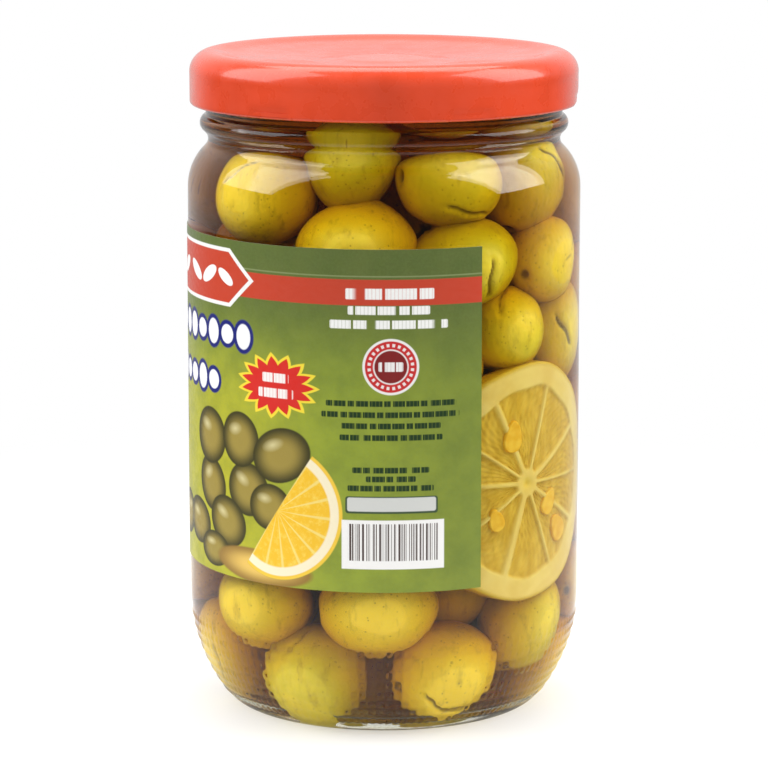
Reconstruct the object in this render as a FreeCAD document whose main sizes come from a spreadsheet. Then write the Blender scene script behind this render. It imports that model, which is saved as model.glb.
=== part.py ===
import FreeCAD, Part
import math
import os
import re

import Sketcher

# A twist-off glass jar of cracked green olives in brine, with a slice of lemon.
# The frame: origin at the centre of the foot, on the surface that the jar stands on, +Z up.
# The front of the paper label faces -Y. Millimetres and degrees throughout.

SIZES = {
    # glass, outside, from the foot up
    "body_diameter": 86.5,
    "wall_thickness": 2.5,
    "bearing_width": 2.0,
    "push_up": 2.2,
    "toe_radius": 5.4,
    "heel_radius": 38.0,
    "heel_height": 25.4,
    "shoulder_radius": 12.2,
    "neck_diameter": 77.4,
    "neck_fillet": 2.3,
    "bead_diameter": 81.0,
    "bead_fillet": 2.0,
    "bead_clearance": 2.1,
    "finish_diameter": 78.4,
    "glass_height": 143.95,
    # glass, inside
    "bore_diameter": 72.8,
    "throat_fillet": 4.0,
    "floor_height": 5.8,
    "floor_sweep": 190.0,
    "inner_toe_radius": 7.0,
    # the six threads on the glass that the lid's lugs hook under
    "closure_count": 6,
    "closure_turn": 10.5,
    "thread_diameter": 80.8,
    "lug_clearance": 0.5,
    "thread_thickness": 1.6,
    "thread_sweep": 42.0,
    # tinplate lid
    "lid_diameter": 85.3,
    "lid_height": 11.7,
    "lid_shoulder": 4.6,
    "tin_thickness": 0.4,
    "curl_radius": 0.8,
    "panel_diameter": 66.6,
    "panel_depth": 0.9,
    "panel_slope": 3.7,
    "dish_depth": 1.5,
    "ring_diameter": 29.0,
    "ring_rise": 0.25,
    "button_diameter": 21.6,
    "button_rise": 0.55,
    "step_width": 0.8,
    "lug_sweep": 14.8,
    "lug_reach": 2.9,
    "lug_thickness": 1.0,
    "lug_dent": 0.35,
    # sealing ring between the rim of the glass and the lid
    "liner_thickness": 0.8,
    "liner_diameter": 79.0,
    "liner_width": 2.6,
    # paper label
    "label_bottom": 33.5,
    "label_height": 73.6,
    "label_sweep": 207.0,
    "label_thickness": 0.15,
    "glue_gap": 0.05,
    # olives in brine, and the lemon slice that lies against the wall
    "head_space": 8.95,
    "fill_gap": 0.05,
    "lemon_diameter": 53.0,
    "lemon_thickness": 5.0,
    "lemon_height": 54.1,
    "lemon_turn": 33.0,
    "lemon_gap": 0.1,
}

document = FreeCAD.newDocument("olive_jar")
sheet = document.addObject("Spreadsheet::Sheet", "sizes")
for row, (alias, value) in enumerate(SIZES.items(), start=1):
    sheet.set(f"A{row}", alias)
    sheet.set(f"B{row}", str(value))
    sheet.setAlias(f"B{row}", alias)
document.recompute()


# Heights that follow from the sizes: the closure from the rim down, then the bead, the neck and the
# shoulder, whose arcs touch one another.
LID_TOP = "(glass_height + liner_thickness + tin_thickness)"
LID_FOOT = f"({LID_TOP} - lid_height)"
LUG_FOOT = f"({LID_FOOT} + curl_radius / 2)"
LUG_TOP = f"({LUG_FOOT} + lug_thickness)"
THREAD_FOOT = f"({LUG_TOP} + lug_clearance)"
BEAD_HEIGHT = f"({LID_FOOT} - bead_clearance - bead_fillet)"
NECK_ACROSS = "(neck_diameter / 2 + neck_fillet)"
BEAD_ACROSS = "(bead_diameter / 2 - bead_fillet)"
SHOULDER_ACROSS = "(body_diameter / 2 - shoulder_radius)"
SHOULDER_HEIGHT = (
    f"({BEAD_HEIGHT} - sqrt((bead_fillet + neck_fillet)^2 - ({NECK_ACROSS} - {BEAD_ACROSS})^2)"
    f" - sqrt((shoulder_radius + neck_fillet)^2 - ({NECK_ACROSS} - {SHOULDER_ACROSS})^2))"
)
LEVEL = "(glass_height - head_space)"


def linked(expression):
    """The expression with each size's name turned into a reference to its cell."""
    return re.sub(
        r"[a-z]+(?:_[a-z]+)+",
        lambda word: f"sizes.{word.group()}" if word.group() in SIZES else word.group(),
        expression,
    )


def value_of(expression):
    """What an expression over the sheet's sizes comes to."""
    return float(sheet.evalExpression(linked(expression)))


def new_body(label, turn="0"):
    """An empty body named for its sub-part, turned about the jar's axis by an angle of the sheet."""
    body = document.addObject("PartDesign::Body", label)
    body.Label = label
    body.Placement = FreeCAD.Placement(
        FreeCAD.Vector(0, 0, 0), FreeCAD.Rotation(FreeCAD.Vector(0, 0, 1), value_of(turn))
    )
    if turn != "0":
        body.setExpression("Placement.Rotation.Angle", linked(turn))
    return body


def origin_feature(body, role):
    """One of the body's own origin planes or axes."""
    return next(f for f in body.Origin.OriginFeatures if f.Role == role)


class Section:
    """A closed half section on a body's XZ plane: edges drawn in order, joined, then bound to the sheet."""

    def __init__(self, body, name):
        self.body = body
        self.sketch = body.newObject("Sketcher::SketchObject", name)
        self.sketch.AttachmentSupport = [(origin_feature(body, "XZ_Plane"), "")]
        self.sketch.MapMode = "FlatFace"
        self.edges = []

    def line(self, start, end):
        index = self.sketch.addGeometry(
            Part.LineSegment(FreeCAD.Vector(*start, 0), FreeCAD.Vector(*end, 0))
        )
        self.edges.append((index, 1, 2))
        return index

    def arc(self, centre, start, end):
        """The arc of under half a turn from start to end."""
        angles = [math.atan2(p[1] - centre[1], p[0] - centre[0]) for p in (start, end)]
        turn = (angles[1] - angles[0] + math.pi) % (2 * math.pi) - math.pi
        first = angles[0] if turn > 0 else angles[1]
        circle = Part.Circle(
            FreeCAD.Vector(*centre, 0), FreeCAD.Vector(0, 0, 1), math.dist(centre, start)
        )
        index = self.sketch.addGeometry(Part.ArcOfCircle(circle, first, first + abs(turn)))
        self.edges.append((index, 1, 2) if turn > 0 else (index, 2, 1))
        return index

    def close(self, smooth=()):
        """Joins each edge to the next, tangentially after the edges in smooth."""
        for this, following in zip(self.edges, self.edges[1:] + self.edges[:1]):
            kind = "Tangent" if this[0] in smooth else "Coincident"
            self.sketch.addConstraint(
                Sketcher.Constraint(kind, this[0], this[2], following[0], following[1])
            )

    def rule(self, kind, *places):
        """A constraint with no size, such as Vertical or PointOnObject."""
        self.sketch.addConstraint(Sketcher.Constraint(kind, *places))

    def bind(self, kind, places, expression):
        """A constraint whose size follows the sheet."""
        index = self.sketch.addConstraint(
            Sketcher.Constraint(kind, *places, value_of(expression))
        )
        self.sketch.setExpression(f"Constraints[{index}]", linked(expression))

    def place(self, edge, end, across, up):
        """Binds one point of an edge: its distance from the axis and its height. None leaves one free."""
        for kind, expression, axis in (("DistanceX", across, -2), ("DistanceY", up, -1)):
            if expression == "0":
                self.rule("PointOnObject", edge, end, axis)
            elif expression is not None:
                self.bind(kind, (-1, 1, edge, end), expression)

    def polygon(self, corners):
        """A closed outline of straight edges through corners given as pairs of expressions."""
        points = [tuple(value_of(e) for e in corner) for corner in corners]
        lines = [self.line(a, b) for a, b in zip(points, points[1:] + points[:1])]
        self.close()
        for edge, corner in zip(lines, corners):
            self.place(edge, 1, *corner)

    def turn(self, kind, name, sweep="360"):
        """Revolves the section about the jar's axis, spread evenly to both sides of the XZ plane."""
        feature = self.body.newObject(f"PartDesign::{kind}", name)
        feature.Profile = self.sketch
        feature.ReferenceAxis = (self.sketch, ["V_Axis"])
        feature.Midplane = sweep != "360"
        feature.Angle = value_of(sweep)
        if sweep != "360":
            feature.setExpression("Angle", linked(sweep))
        return feature


def repeat_round(body, features, name):
    """Repeats features once for each thread and lug of the closure."""
    pattern = body.newObject("PartDesign::PolarPattern", name)
    pattern.Originals = features
    pattern.Axis = (origin_feature(body, "Z_Axis"), [""])
    pattern.Angle = 360
    pattern.Occurrences = int(value_of("closure_count"))
    pattern.setExpression("Occurrences", linked("closure_count"))
    body.Tip = pattern
    return pattern


def between(first, first_radius, second, second_radius):
    """The point where two circles touch: outside each other, or inside for a negative radius."""
    share = first_radius / (first_radius + second_radius)
    return tuple(a + (b - a) * share for a, b in zip(first, second))


def other_leg(hypotenuse, leg):
    return math.sqrt(hypotenuse**2 - leg**2)


def crossing(first, first_radius, second, second_radius):
    """Where two circles cross, on the right of the way from the first centre to the second."""
    span = math.dist(first, second)
    along = (span**2 + first_radius**2 - second_radius**2) / (2 * span)
    aside = other_leg(first_radius, along)
    ahead = [(b - a) / span for a, b in zip(first, second)]
    return (
        first[0] + ahead[0] * along + ahead[1] * aside,
        first[1] + ahead[1] * along - ahead[0] * aside,
    )


def draw_cavity(section, gap, top):
    """The inside of the glass, from the height top in the bore down to the axis, set in by gap.

    Returns its edges and draws: bore, throat, shoulder, wall, heel, toe and crowned floor."""
    size = {alias: value_of(alias) for alias in SIZES}
    inset = value_of(gap)
    bore = size["bore_diameter"] / 2 - inset
    wall = size["body_diameter"] / 2 - size["wall_thickness"] - inset
    shoulder = size["shoulder_radius"] - size["wall_thickness"] - inset
    throat = size["throat_fillet"] + inset
    heel = size["heel_radius"] - size["wall_thickness"] - inset
    toe = size["inner_toe_radius"] - inset
    crown = size["floor_height"] + inset
    sweep = size["floor_sweep"] + inset
    shoulder_centre = (wall - shoulder, value_of(SHOULDER_HEIGHT))
    reach = bore + throat - shoulder_centre[0]
    throat_centre = (bore + throat, shoulder_centre[1] + other_leg(shoulder + throat, reach))
    heel_centre = (wall - heel, size["heel_height"])
    floor_centre = (0, crown - sweep)
    toe_centre = crossing(heel_centre, heel - toe, floor_centre, sweep + toe)
    if toe_centre[0] < 0:
        toe_centre = crossing(floor_centre, sweep + toe, heel_centre, heel - toe)
    throat_end = between(throat_centre, throat, shoulder_centre, shoulder)
    heel_end = between(heel_centre, heel, toe_centre, -toe)
    floor_end = between(floor_centre, sweep, toe_centre, toe)
    edges = [
        section.line((bore, top), (bore, throat_centre[1])),
        section.arc(throat_centre, (bore, throat_centre[1]), throat_end),
        section.arc(shoulder_centre, throat_end, (wall, shoulder_centre[1])),
        section.line((wall, shoulder_centre[1]), (wall, heel_centre[1])),
        section.arc(heel_centre, (wall, heel_centre[1]), heel_end),
        section.arc(toe_centre, heel_end, floor_end),
        section.arc(floor_centre, floor_end, (0, crown)),
    ]
    return edges


def bind_cavity(section, edges, gap):
    """Binds the edges that draw_cavity drew to the sheet."""
    bore, throat, shoulder, wall, heel, toe, floor = edges
    section.rule("Vertical", bore)
    section.rule("Vertical", wall)
    section.bind("DistanceX", (-1, 1, bore, 1), f"bore_diameter / 2 - {gap}")
    section.bind("Radius", (throat,), f"throat_fillet + {gap}")
    section.bind("Radius", (shoulder,), f"shoulder_radius - wall_thickness - {gap}")
    section.place(shoulder, 3, SHOULDER_ACROSS, SHOULDER_HEIGHT)
    section.bind("Radius", (heel,), f"heel_radius - wall_thickness - {gap}")
    section.bind("DistanceY", (-1, 1, heel, 3), "heel_height")
    section.bind("Radius", (toe,), f"inner_toe_radius - {gap}")
    section.bind("Radius", (floor,), f"floor_sweep + {gap}")
    section.rule("PointOnObject", floor, 3, -2)


def glass_jar():
    """The glass: one revolved section from foot to rim, with six interrupted threads."""
    body = new_body("glass_jar", "closure_turn")
    section = Section(body, "glass_section")
    size = {alias: value_of(alias) for alias in SIZES}
    outer = size["body_diameter"] / 2
    finish = size["finish_diameter"] / 2
    bore = size["bore_diameter"] / 2
    toe = size["toe_radius"]
    heel = size["heel_radius"]
    shoulder = size["shoulder_radius"]
    fillet = size["neck_fillet"]
    bead = size["bead_fillet"]

    heel_centre = (outer - heel, size["heel_height"])
    foot = heel_centre[0] + other_leg(heel - toe, heel_centre[1] - toe)
    toe_centre = (foot, toe)
    toe_end = between(heel_centre, heel, toe_centre, -toe)
    shoulder_centre = (outer - shoulder, value_of(SHOULDER_HEIGHT))
    bead_centre = (value_of(BEAD_ACROSS), value_of(BEAD_HEIGHT))
    neck_across = value_of(NECK_ACROSS)
    neck_drop = other_leg(bead + fillet, neck_across - bead_centre[0])
    neck_centre = (neck_across, bead_centre[1] - neck_drop)
    shoulder_end = between(shoulder_centre, shoulder, neck_centre, fillet)
    neck_end = between(neck_centre, fillet, bead_centre, bead)
    bead_end = (finish, bead_centre[1] + other_leg(bead, finish - bead_centre[0]))
    rim_centre = ((finish + bore) / 2, size["glass_height"] - (finish - bore) / 2)
    rim_top = (rim_centre[0], size["glass_height"])
    bearing = foot - size["bearing_width"]
    dome_radius = (bearing**2 + size["push_up"] ** 2) / (2 * size["push_up"])

    dome_edge = section.arc((0, size["push_up"] - dome_radius), (0, size["push_up"]), (bearing, 0))
    foot_edge = section.line((bearing, 0), (foot, 0))
    toe_edge = section.arc(toe_centre, (foot, 0), toe_end)
    heel_edge = section.arc(heel_centre, toe_end, (outer, heel_centre[1]))
    wall_edge = section.line((outer, heel_centre[1]), (outer, shoulder_centre[1]))
    shoulder_edge = section.arc(shoulder_centre, (outer, shoulder_centre[1]), shoulder_end)
    neck_edge = section.arc(neck_centre, shoulder_end, neck_end)
    bead_edge = section.arc(bead_centre, neck_end, bead_end)
    finish_edge = section.line(bead_end, (finish, rim_centre[1]))
    rim_edge = section.arc(rim_centre, (finish, rim_centre[1]), rim_top)
    lip_edge = section.arc(rim_centre, rim_top, (bore, rim_centre[1]))
    cavity = draw_cavity(section, "0", rim_centre[1])
    section.line((0, size["floor_height"]), (0, size["push_up"]))
    smooth = (foot_edge, toe_edge, heel_edge, wall_edge, shoulder_edge, neck_edge)
    section.close(smooth + (finish_edge, lip_edge) + tuple(cavity[:-1]))

    section.place(dome_edge, 2, "0", "push_up")
    section.rule("PointOnObject", dome_edge, 3, -2)
    section.rule("PointOnObject", foot_edge, 1, -1)
    section.rule("Horizontal", foot_edge)
    section.bind("DistanceX", (foot_edge, 1, foot_edge, 2), "bearing_width")
    section.bind("Radius", (toe_edge,), "toe_radius")
    section.bind("Radius", (heel_edge,), "heel_radius")
    section.rule("Vertical", wall_edge)
    section.place(wall_edge, 1, "body_diameter / 2", "heel_height")
    section.bind("Radius", (shoulder_edge,), "shoulder_radius")
    section.bind("Radius", (neck_edge,), "neck_fillet")
    section.bind("DistanceX", (-1, 1, neck_edge, 3), NECK_ACROSS)
    section.bind("Radius", (bead_edge,), "bead_fillet")
    section.place(bead_edge, 3, BEAD_ACROSS, BEAD_HEIGHT)
    section.rule("Vertical", finish_edge)
    section.bind("DistanceX", (-1, 1, finish_edge, 1), "finish_diameter / 2")
    section.rule("Coincident", rim_edge, 3, lip_edge, 3)
    section.rule("Vertical", rim_edge, 2, rim_edge, 3)
    section.bind("DistanceY", (-1, 1, rim_edge, 2), "glass_height")
    bind_cavity(section, cavity, "0")
    section.place(cavity[-1], 2, "0", "floor_height")
    section.turn("Revolution", "glass_turned")

    thread = Section(body, "thread_section")
    root = "finish_diameter / 2 - wall_thickness / 2"
    crest = "thread_diameter / 2"
    thread.polygon([
        (root, THREAD_FOOT),
        (crest, THREAD_FOOT),
        (crest, f"{THREAD_FOOT} + thread_thickness / 2"),
        (root, f"{THREAD_FOOT} + thread_thickness * 1.5"),
    ])
    threads = thread.turn("Revolution", "thread", "thread_sweep")
    repeat_round(body, [threads], "threads")
    return body


def lid():
    """The pressed tinplate lid: rolled edge, skirt, rim channel, dished panel, safety button and six lugs."""
    body = new_body("lid", "closure_turn")
    section = Section(body, "lid_section")
    dish = f"{LID_TOP} - panel_depth - dish_depth"
    steps = [
        ("0", f"{dish} + button_rise"),
        ("button_diameter / 2 - step_width", f"{dish} + button_rise"),
        ("button_diameter / 2", f"{dish} + ring_rise"),
        ("ring_diameter / 2 - step_width", f"{dish} + ring_rise"),
        ("ring_diameter / 2", dish),
        ("panel_diameter / 2", f"{LID_TOP} - panel_depth"),
        ("panel_diameter / 2 + panel_slope", LID_TOP),
        ("lid_diameter / 2 - lid_shoulder", LID_TOP),
    ]
    upper = [tuple(value_of(e) for e in step) for step in steps]
    tin = value_of("tin_thickness")
    lower = [(across, up - tin) for across, up in upper]
    edge = value_of("lid_diameter / 2")
    shoulder = value_of("lid_shoulder")
    curl = value_of("curl_radius")
    top = value_of(LID_TOP)
    curl_centre = (edge - curl, value_of(f"{LID_FOOT} + curl_radius"))
    shoulder_centre = (edge - shoulder, top - shoulder)
    curl_inside = (edge - 2 * curl, curl_centre[1])
    curl_top = (edge - tin, curl_centre[1] + curl)

    tops = [section.line(a, b) for a, b in zip(upper, upper[1:])]
    outer_arc = section.arc(shoulder_centre, upper[-1], (edge, shoulder_centre[1]))
    skirt = section.line((edge, shoulder_centre[1]), (edge, curl_centre[1]))
    foot = (curl_centre[0], curl_centre[1] - curl)
    curl_outer = section.arc(curl_centre, (edge, curl_centre[1]), foot)
    curl_inner = section.arc(curl_centre, foot, curl_inside)
    curl_back = section.line(curl_inside, curl_top)
    inner_skirt = section.line(curl_top, (edge - tin, shoulder_centre[1]))
    inner_arc = section.arc(shoulder_centre, (edge - tin, shoulder_centre[1]), lower[-1])
    unders = [section.line(a, b) for a, b in zip(lower[::-1], lower[-2::-1])]
    section.line(lower[0], upper[0])
    section.close()

    for line, step in zip(tops, steps):
        section.place(line, 1, *step)
    section.place(tops[-1], 2, steps[-1][0], None)
    section.place(outer_arc, 3, "lid_diameter / 2 - lid_shoulder", f"{LID_TOP} - lid_shoulder")
    section.place(skirt, 1, "lid_diameter / 2", f"{LID_TOP} - lid_shoulder")
    section.rule("Vertical", skirt)
    section.place(curl_outer, 3, "lid_diameter / 2 - curl_radius", f"{LID_FOOT} + curl_radius")
    section.rule("Coincident", curl_outer, 3, curl_inner, 3)
    section.rule("Horizontal", skirt, 2, curl_outer, 3)
    section.rule("Vertical", curl_outer, 3, curl_inner, 2)
    section.rule("Horizontal", curl_back, 1, curl_outer, 3)
    section.place(inner_skirt, 1, "lid_diameter / 2 - tin_thickness", f"{LID_FOOT} + 2 * curl_radius")
    section.rule("Vertical", inner_skirt)
    section.rule("Coincident", outer_arc, 3, inner_arc, 3)
    section.rule("Horizontal", outer_arc, 3, inner_arc, 1)
    section.place(unders[0], 1, steps[-1][0], None)
    for line, (across, up) in zip(unders[1:], steps[-2::-1]):
        section.place(line, 1, across, f"{up} - tin_thickness")
    section.place(unders[-1], 2, "0", f"{steps[0][1]} - tin_thickness")
    section.turn("Revolution", "lid_turned")

    lug = Section(body, "lug_section")
    lug.polygon([
        ("lid_diameter / 2 - lug_reach", LUG_FOOT),
        ("lid_diameter / 2 - tin_thickness - lug_dent", LUG_FOOT),
        ("lid_diameter / 2 - tin_thickness / 2", LUG_TOP),
        ("lid_diameter / 2 - lug_reach", LUG_TOP),
    ])
    lugs = lug.turn("Revolution", "lug", "lug_sweep")

    dent = Section(body, "dent_section")
    dent.polygon([
        ("lid_diameter / 2 - lug_dent", LID_FOOT),
        ("lid_diameter / 2 + tin_thickness", LID_FOOT),
        ("lid_diameter / 2 + tin_thickness", f"{LID_FOOT} + 2 * curl_radius"),
        ("lid_diameter / 2 - lug_dent / 4", f"{LID_FOOT} + 1.5 * curl_radius"),
    ])
    dents = dent.turn("Groove", "dent", "lug_sweep")
    repeat_round(body, [lugs, dents], "lugs")
    return body


def lid_liner():
    """The soft sealing ring between the rim of the glass and the underside of the lid."""
    body = new_body("lid_liner")
    section = Section(body, "liner_section")
    inner = "(liner_diameter / 2 - liner_width)"
    outer = "liner_diameter / 2"
    channel_start = "(panel_diameter / 2 + panel_slope)"
    channel_end = "(lid_diameter / 2 - lid_shoulder)"
    arc_radius = "(lid_shoulder - tin_thickness)"
    top = "glass_height + liner_thickness"
    section.polygon([
        (inner, "glass_height"),
        (outer, "glass_height"),
        (outer, f"{top} - {arc_radius} + sqrt({arc_radius}^2 - ({outer} - {channel_end})^2)"),
        (channel_end, top),
        (channel_start, top),
        (inner, f"{top} - ({channel_start} - {inner}) * panel_depth / panel_slope"),
    ])
    section.turn("Revolution", "liner_turned")
    return body


def label():
    """The paper label: a band glued round the front of the glass, open at the back."""
    body = new_body("label")
    body.Placement.Rotation = FreeCAD.Rotation(FreeCAD.Vector(0, 0, 1), -90)
    section = Section(body, "label_section")
    inner = "body_diameter / 2 + glue_gap"
    outer = f"{inner} + label_thickness"
    section.polygon([
        (inner, "label_bottom"),
        (outer, "label_bottom"),
        (outer, "label_bottom + label_height"),
        (inner, "label_bottom + label_height"),
    ])
    section.turn("Revolution", "label_turned", "label_sweep")
    return body


def cylinder(name, radius, height):
    """A cylinder bound to the sheet, standing at the origin."""
    solid = document.addObject("Part::Cylinder", name)
    for quantity, expression in (("Radius", radius), ("Height", height)):
        setattr(solid, quantity, value_of(expression))
        solid.setExpression(quantity, linked(expression))
    return solid


def combine(kind, name, base, tool):
    result = document.addObject(f"Part::{kind}", name)
    result.Base = base
    result.Tool = tool
    return result


LEMON_OUTSIDE = "(body_diameter / 2 - wall_thickness - lemon_gap)"


def slice_of_wall(name, inside, outside, radius):
    """The part of a tube of the jar's axis that lies within a round bar laid along a radius of the jar."""
    tall = cylinder(f"{name}_outer", outside, "glass_height")
    short = cylinder(f"{name}_inner", inside, "glass_height")
    tube = combine("Cut", f"{name}_tube", tall, short)
    bar = cylinder(f"{name}_bar", radius, "body_diameter / 2")
    bar.Placement = FreeCAD.Placement(
        FreeCAD.Vector(0, 0, value_of("lemon_height")),
        FreeCAD.Rotation(FreeCAD.Vector(0, 1, 0), 90),
    )
    bar.setExpression("Placement.Base.z", linked("lemon_height"))
    result = combine("Common", name, tube, bar)
    result.Placement = FreeCAD.Placement(
        FreeCAD.Vector(0, 0, 0),
        FreeCAD.Rotation(FreeCAD.Vector(0, 0, 1), value_of("lemon_turn")),
    )
    result.setExpression("Placement.Rotation.Angle", linked("lemon_turn"))
    return result


def lemon_slice():
    """A round slice of lemon, bent to the wall that it is pressed against."""
    return slice_of_wall(
        "lemon_slice", f"{LEMON_OUTSIDE} - lemon_thickness", LEMON_OUTSIDE, "lemon_diameter / 2"
    )


def olives_in_brine():
    """The olives and their brine, filling the glass up to the level, cut round the lemon slice."""
    body = document.addObject("PartDesign::Body", "fill")
    section = Section(body, "fill_section")
    level = value_of(LEVEL)
    edge = value_of("bore_diameter / 2 - fill_gap")
    surface = section.line((0, level), (edge, level))
    cavity = draw_cavity(section, "fill_gap", level)
    section.line((0, value_of("floor_height + fill_gap")), (0, level))
    section.close(tuple(cavity[:-1]))
    section.place(surface, 1, "0", LEVEL)
    section.rule("Horizontal", surface)
    bind_cavity(section, cavity, "fill_gap")
    section.place(cavity[-1], 2, "0", "floor_height + fill_gap")
    section.turn("Revolution", "fill_turned")
    room = slice_of_wall(
        "lemon_room",
        f"{LEMON_OUTSIDE} - lemon_thickness - lemon_gap",
        "body_diameter / 2",
        "lemon_diameter / 2 + lemon_gap",
    )
    return combine("Cut", "olives_in_brine", body, room)


def check(objects):
    """Stops if any object failed to compute, or any sub-part has no sound solid."""
    failed = [o.Name for o in document.Objects if "Invalid" in o.State or "Error" in o.State]
    for part in objects:
        if part.Shape.isNull() or not part.Shape.isValid() or len(part.Shape.Solids) != 1:
            failed.append(part.Label)
    if failed:
        raise RuntimeError(f"failed: {', '.join(failed)}")


sub_parts = [glass_jar(), lid(), lid_liner(), label(), lemon_slice(), olives_in_brine()]
document.recompute()
check(sub_parts)
os.makedirs("parts", exist_ok=True)
for sub_part in sub_parts:
    sub_part.Shape.exportStep(f"parts/{sub_part.Label}.step")
    print(f"{sub_part.Label}: {sub_part.Shape.Volume / 1000:.2f} cm3")
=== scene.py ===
import math

import bpy
import numpy as np
from bpy.props import FloatProperty, FloatVectorProperty, IntProperty, PointerProperty
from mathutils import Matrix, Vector


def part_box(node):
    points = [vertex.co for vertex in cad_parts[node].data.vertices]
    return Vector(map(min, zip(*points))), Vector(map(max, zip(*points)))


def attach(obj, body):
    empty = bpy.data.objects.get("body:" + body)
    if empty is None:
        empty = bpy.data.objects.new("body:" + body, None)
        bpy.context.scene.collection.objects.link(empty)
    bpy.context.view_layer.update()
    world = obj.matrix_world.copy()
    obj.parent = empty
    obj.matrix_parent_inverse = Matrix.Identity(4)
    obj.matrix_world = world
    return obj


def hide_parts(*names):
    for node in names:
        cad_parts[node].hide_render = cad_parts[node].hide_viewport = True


bl_info = {
    "name": "Olive Jar",
    "version": (1, 0, 0),
    "blender": (4, 5, 0),
    "location": "3D View > Sidebar > Olive Jar",
    "description": "A twist-off jar of cracked green olives in brine with a slice of lemon",
    "category": "Object",
}

MM = 0.001
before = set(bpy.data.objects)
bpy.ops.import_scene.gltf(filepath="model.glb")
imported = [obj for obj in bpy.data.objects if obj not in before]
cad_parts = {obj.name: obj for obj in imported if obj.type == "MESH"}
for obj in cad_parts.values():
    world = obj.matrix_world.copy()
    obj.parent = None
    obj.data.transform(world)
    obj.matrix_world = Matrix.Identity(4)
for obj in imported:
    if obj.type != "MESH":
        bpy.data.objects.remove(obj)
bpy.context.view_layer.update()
GLASS_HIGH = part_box("glass_jar")[1]
LID_LOW, LID_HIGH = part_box("lid")
LINER_LOW, LINER_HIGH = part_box("lid_liner")
LABEL_LOW, LABEL_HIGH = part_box("label")
FILL_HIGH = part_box("olives_in_brine")[1]
LEMON_LOW, LEMON_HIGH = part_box("lemon_slice")


def length(name, description, size):
    """A property that holds a length, given in millimetres."""
    return FloatProperty(name=name, description=description, default=size * MM, unit="LENGTH", precision=5)


def colour(name, description, value):
    """A property that holds a linear colour."""
    return FloatVectorProperty(
        name=name, description=description, default=value, subtype="COLOR", size=3, min=0, max=1
    )


class GlassSizes(bpy.types.PropertyGroup):
    wall: length("Wall", "Thickness of the glass wall", 2.5)
    push_up: length("Push-up", "Rise of the foot's middle", 2.2)
    bearing: length("Bearing width", "Width of the ring that the jar stands on", 2.0)
    toe: length("Toe radius", "Rounding between the foot and the heel", 5.4)
    heel: length("Heel radius", "Long curve from the toe up to the wall", 38.0)
    heel_height: length("Heel height", "Where the heel meets the wall", 25.4)
    shoulder: length("Shoulder radius", "Rounding of the shoulder", 12.2)
    shoulder_height: length("Shoulder height", "Where the wall meets the shoulder", 115.3)
    neck: length("Neck radius", "Radius of the neck's narrowest ring", 38.7)
    neck_fillet: length("Neck fillet", "Hollow rounding of the neck", 2.3)
    bead: length("Bead radius", "Radius of the bead under the lid", 40.5)
    bead_fillet: length("Bead rounding", "Rounding of the bead", 2.0)
    finish: length("Finish radius", "Outside of the mouth's ring", 39.2)
    bore: length("Bore radius", "Inside of the mouth", 36.4)
    throat: length("Throat fillet", "Rounding inside the neck", 4.0)
    floor: length("Floor height", "Height of the floor's crown inside", 5.8)
    floor_sweep: length("Floor sweep", "Radius of the crowned floor", 190.0)
    inner_toe: length("Inner toe", "Rounding inside between floor and heel", 7.0)
    dot_height: length("Dot height", "Relief of the stippled heel", 0.27)
    dot_rows: IntProperty(name="Dot rows", description="Rows of dots up the heel", default=8)
    dot_count: IntProperty(name="Dot count", description="Dots in one row round the jar", default=134)
    dot_pitch: length("Dot pitch", "Spacing of the dots up the heel", 2.55)
    seam_height: length("Seam height", "Relief of the mould seam", 0.06)
    thread_height: length("Thread height", "Relief of a thread", 1.5)
    thread_rise: length("Thread rise", "Middle of a thread above the lid's foot", 2.8)
    thread_sweep: FloatProperty(
        name="Thread sweep", description="Half of the angle that a thread takes", default=0.3, subtype="ANGLE"
    )


class ClosureSizes(bpy.types.PropertyGroup):
    tin: length("Tin", "Thickness of the tinplate", 0.4)
    shoulder: length("Lid shoulder", "Rounding of the lid's edge", 4.6)
    curl: length("Curl", "Radius of the rolled edge", 0.8)
    panel: length("Panel radius", "Outside of the sunk panel", 33.3)
    slope: length("Panel slope", "Width of the slope up to the rim", 3.7)
    depth: length("Panel depth", "How far the panel's edge is sunk", 0.9)
    dish: length("Dish", "How far the panel sinks further in the middle", 1.5)
    ring: length("Ring radius", "Outer step of the button", 14.5)
    ring_rise: length("Ring rise", "Height of the outer step", 0.25)
    button: length("Button radius", "Inner step of the button", 10.8)
    button_rise: length("Button rise", "Height of the button", 0.55)
    step: length("Step width", "Width of each step", 0.8)
    dent: length("Dent", "Depth of the dents over the lugs", 0.35)
    lug_reach: length("Lug reach", "How far a lug stands in from the skirt", 2.9)
    lug_thickness: length("Lug thickness", "Thickness of a lug", 1.0)
    lug_sweep: FloatProperty(
        name="Lug sweep", description="Angle that one lug takes", default=math.radians(14.8), subtype="ANGLE"
    )
    turn: FloatProperty(
        name="Closure turn", description="Turn of the lid", default=math.radians(10.5), subtype="ANGLE"
    )
    lugs: IntProperty(name="Lugs", description="Number of lugs", default=6)
    lacquer: colour("Lacquer", "Red lacquer of the lid", (0.82, 0.07, 0.018))


class LabelLook(bpy.types.PropertyGroup):
    sweep: FloatProperty(
        name="Sweep", description="Angle that the label takes", default=math.radians(207.0), subtype="ANGLE"
    )
    thickness: length("Paper", "Thickness of the paper", 0.15)
    green: colour("Green", "Middle green of the field", (0.29, 0.37, 0.030))
    dark_green: colour("Dark green", "Top and side of the field", (0.115, 0.15, 0.035))
    lime: colour("Lime", "Lower left of the field", (0.54, 0.51, 0.02))
    red: colour("Red", "Stripe and badge", (0.60, 0.055, 0.02))


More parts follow.
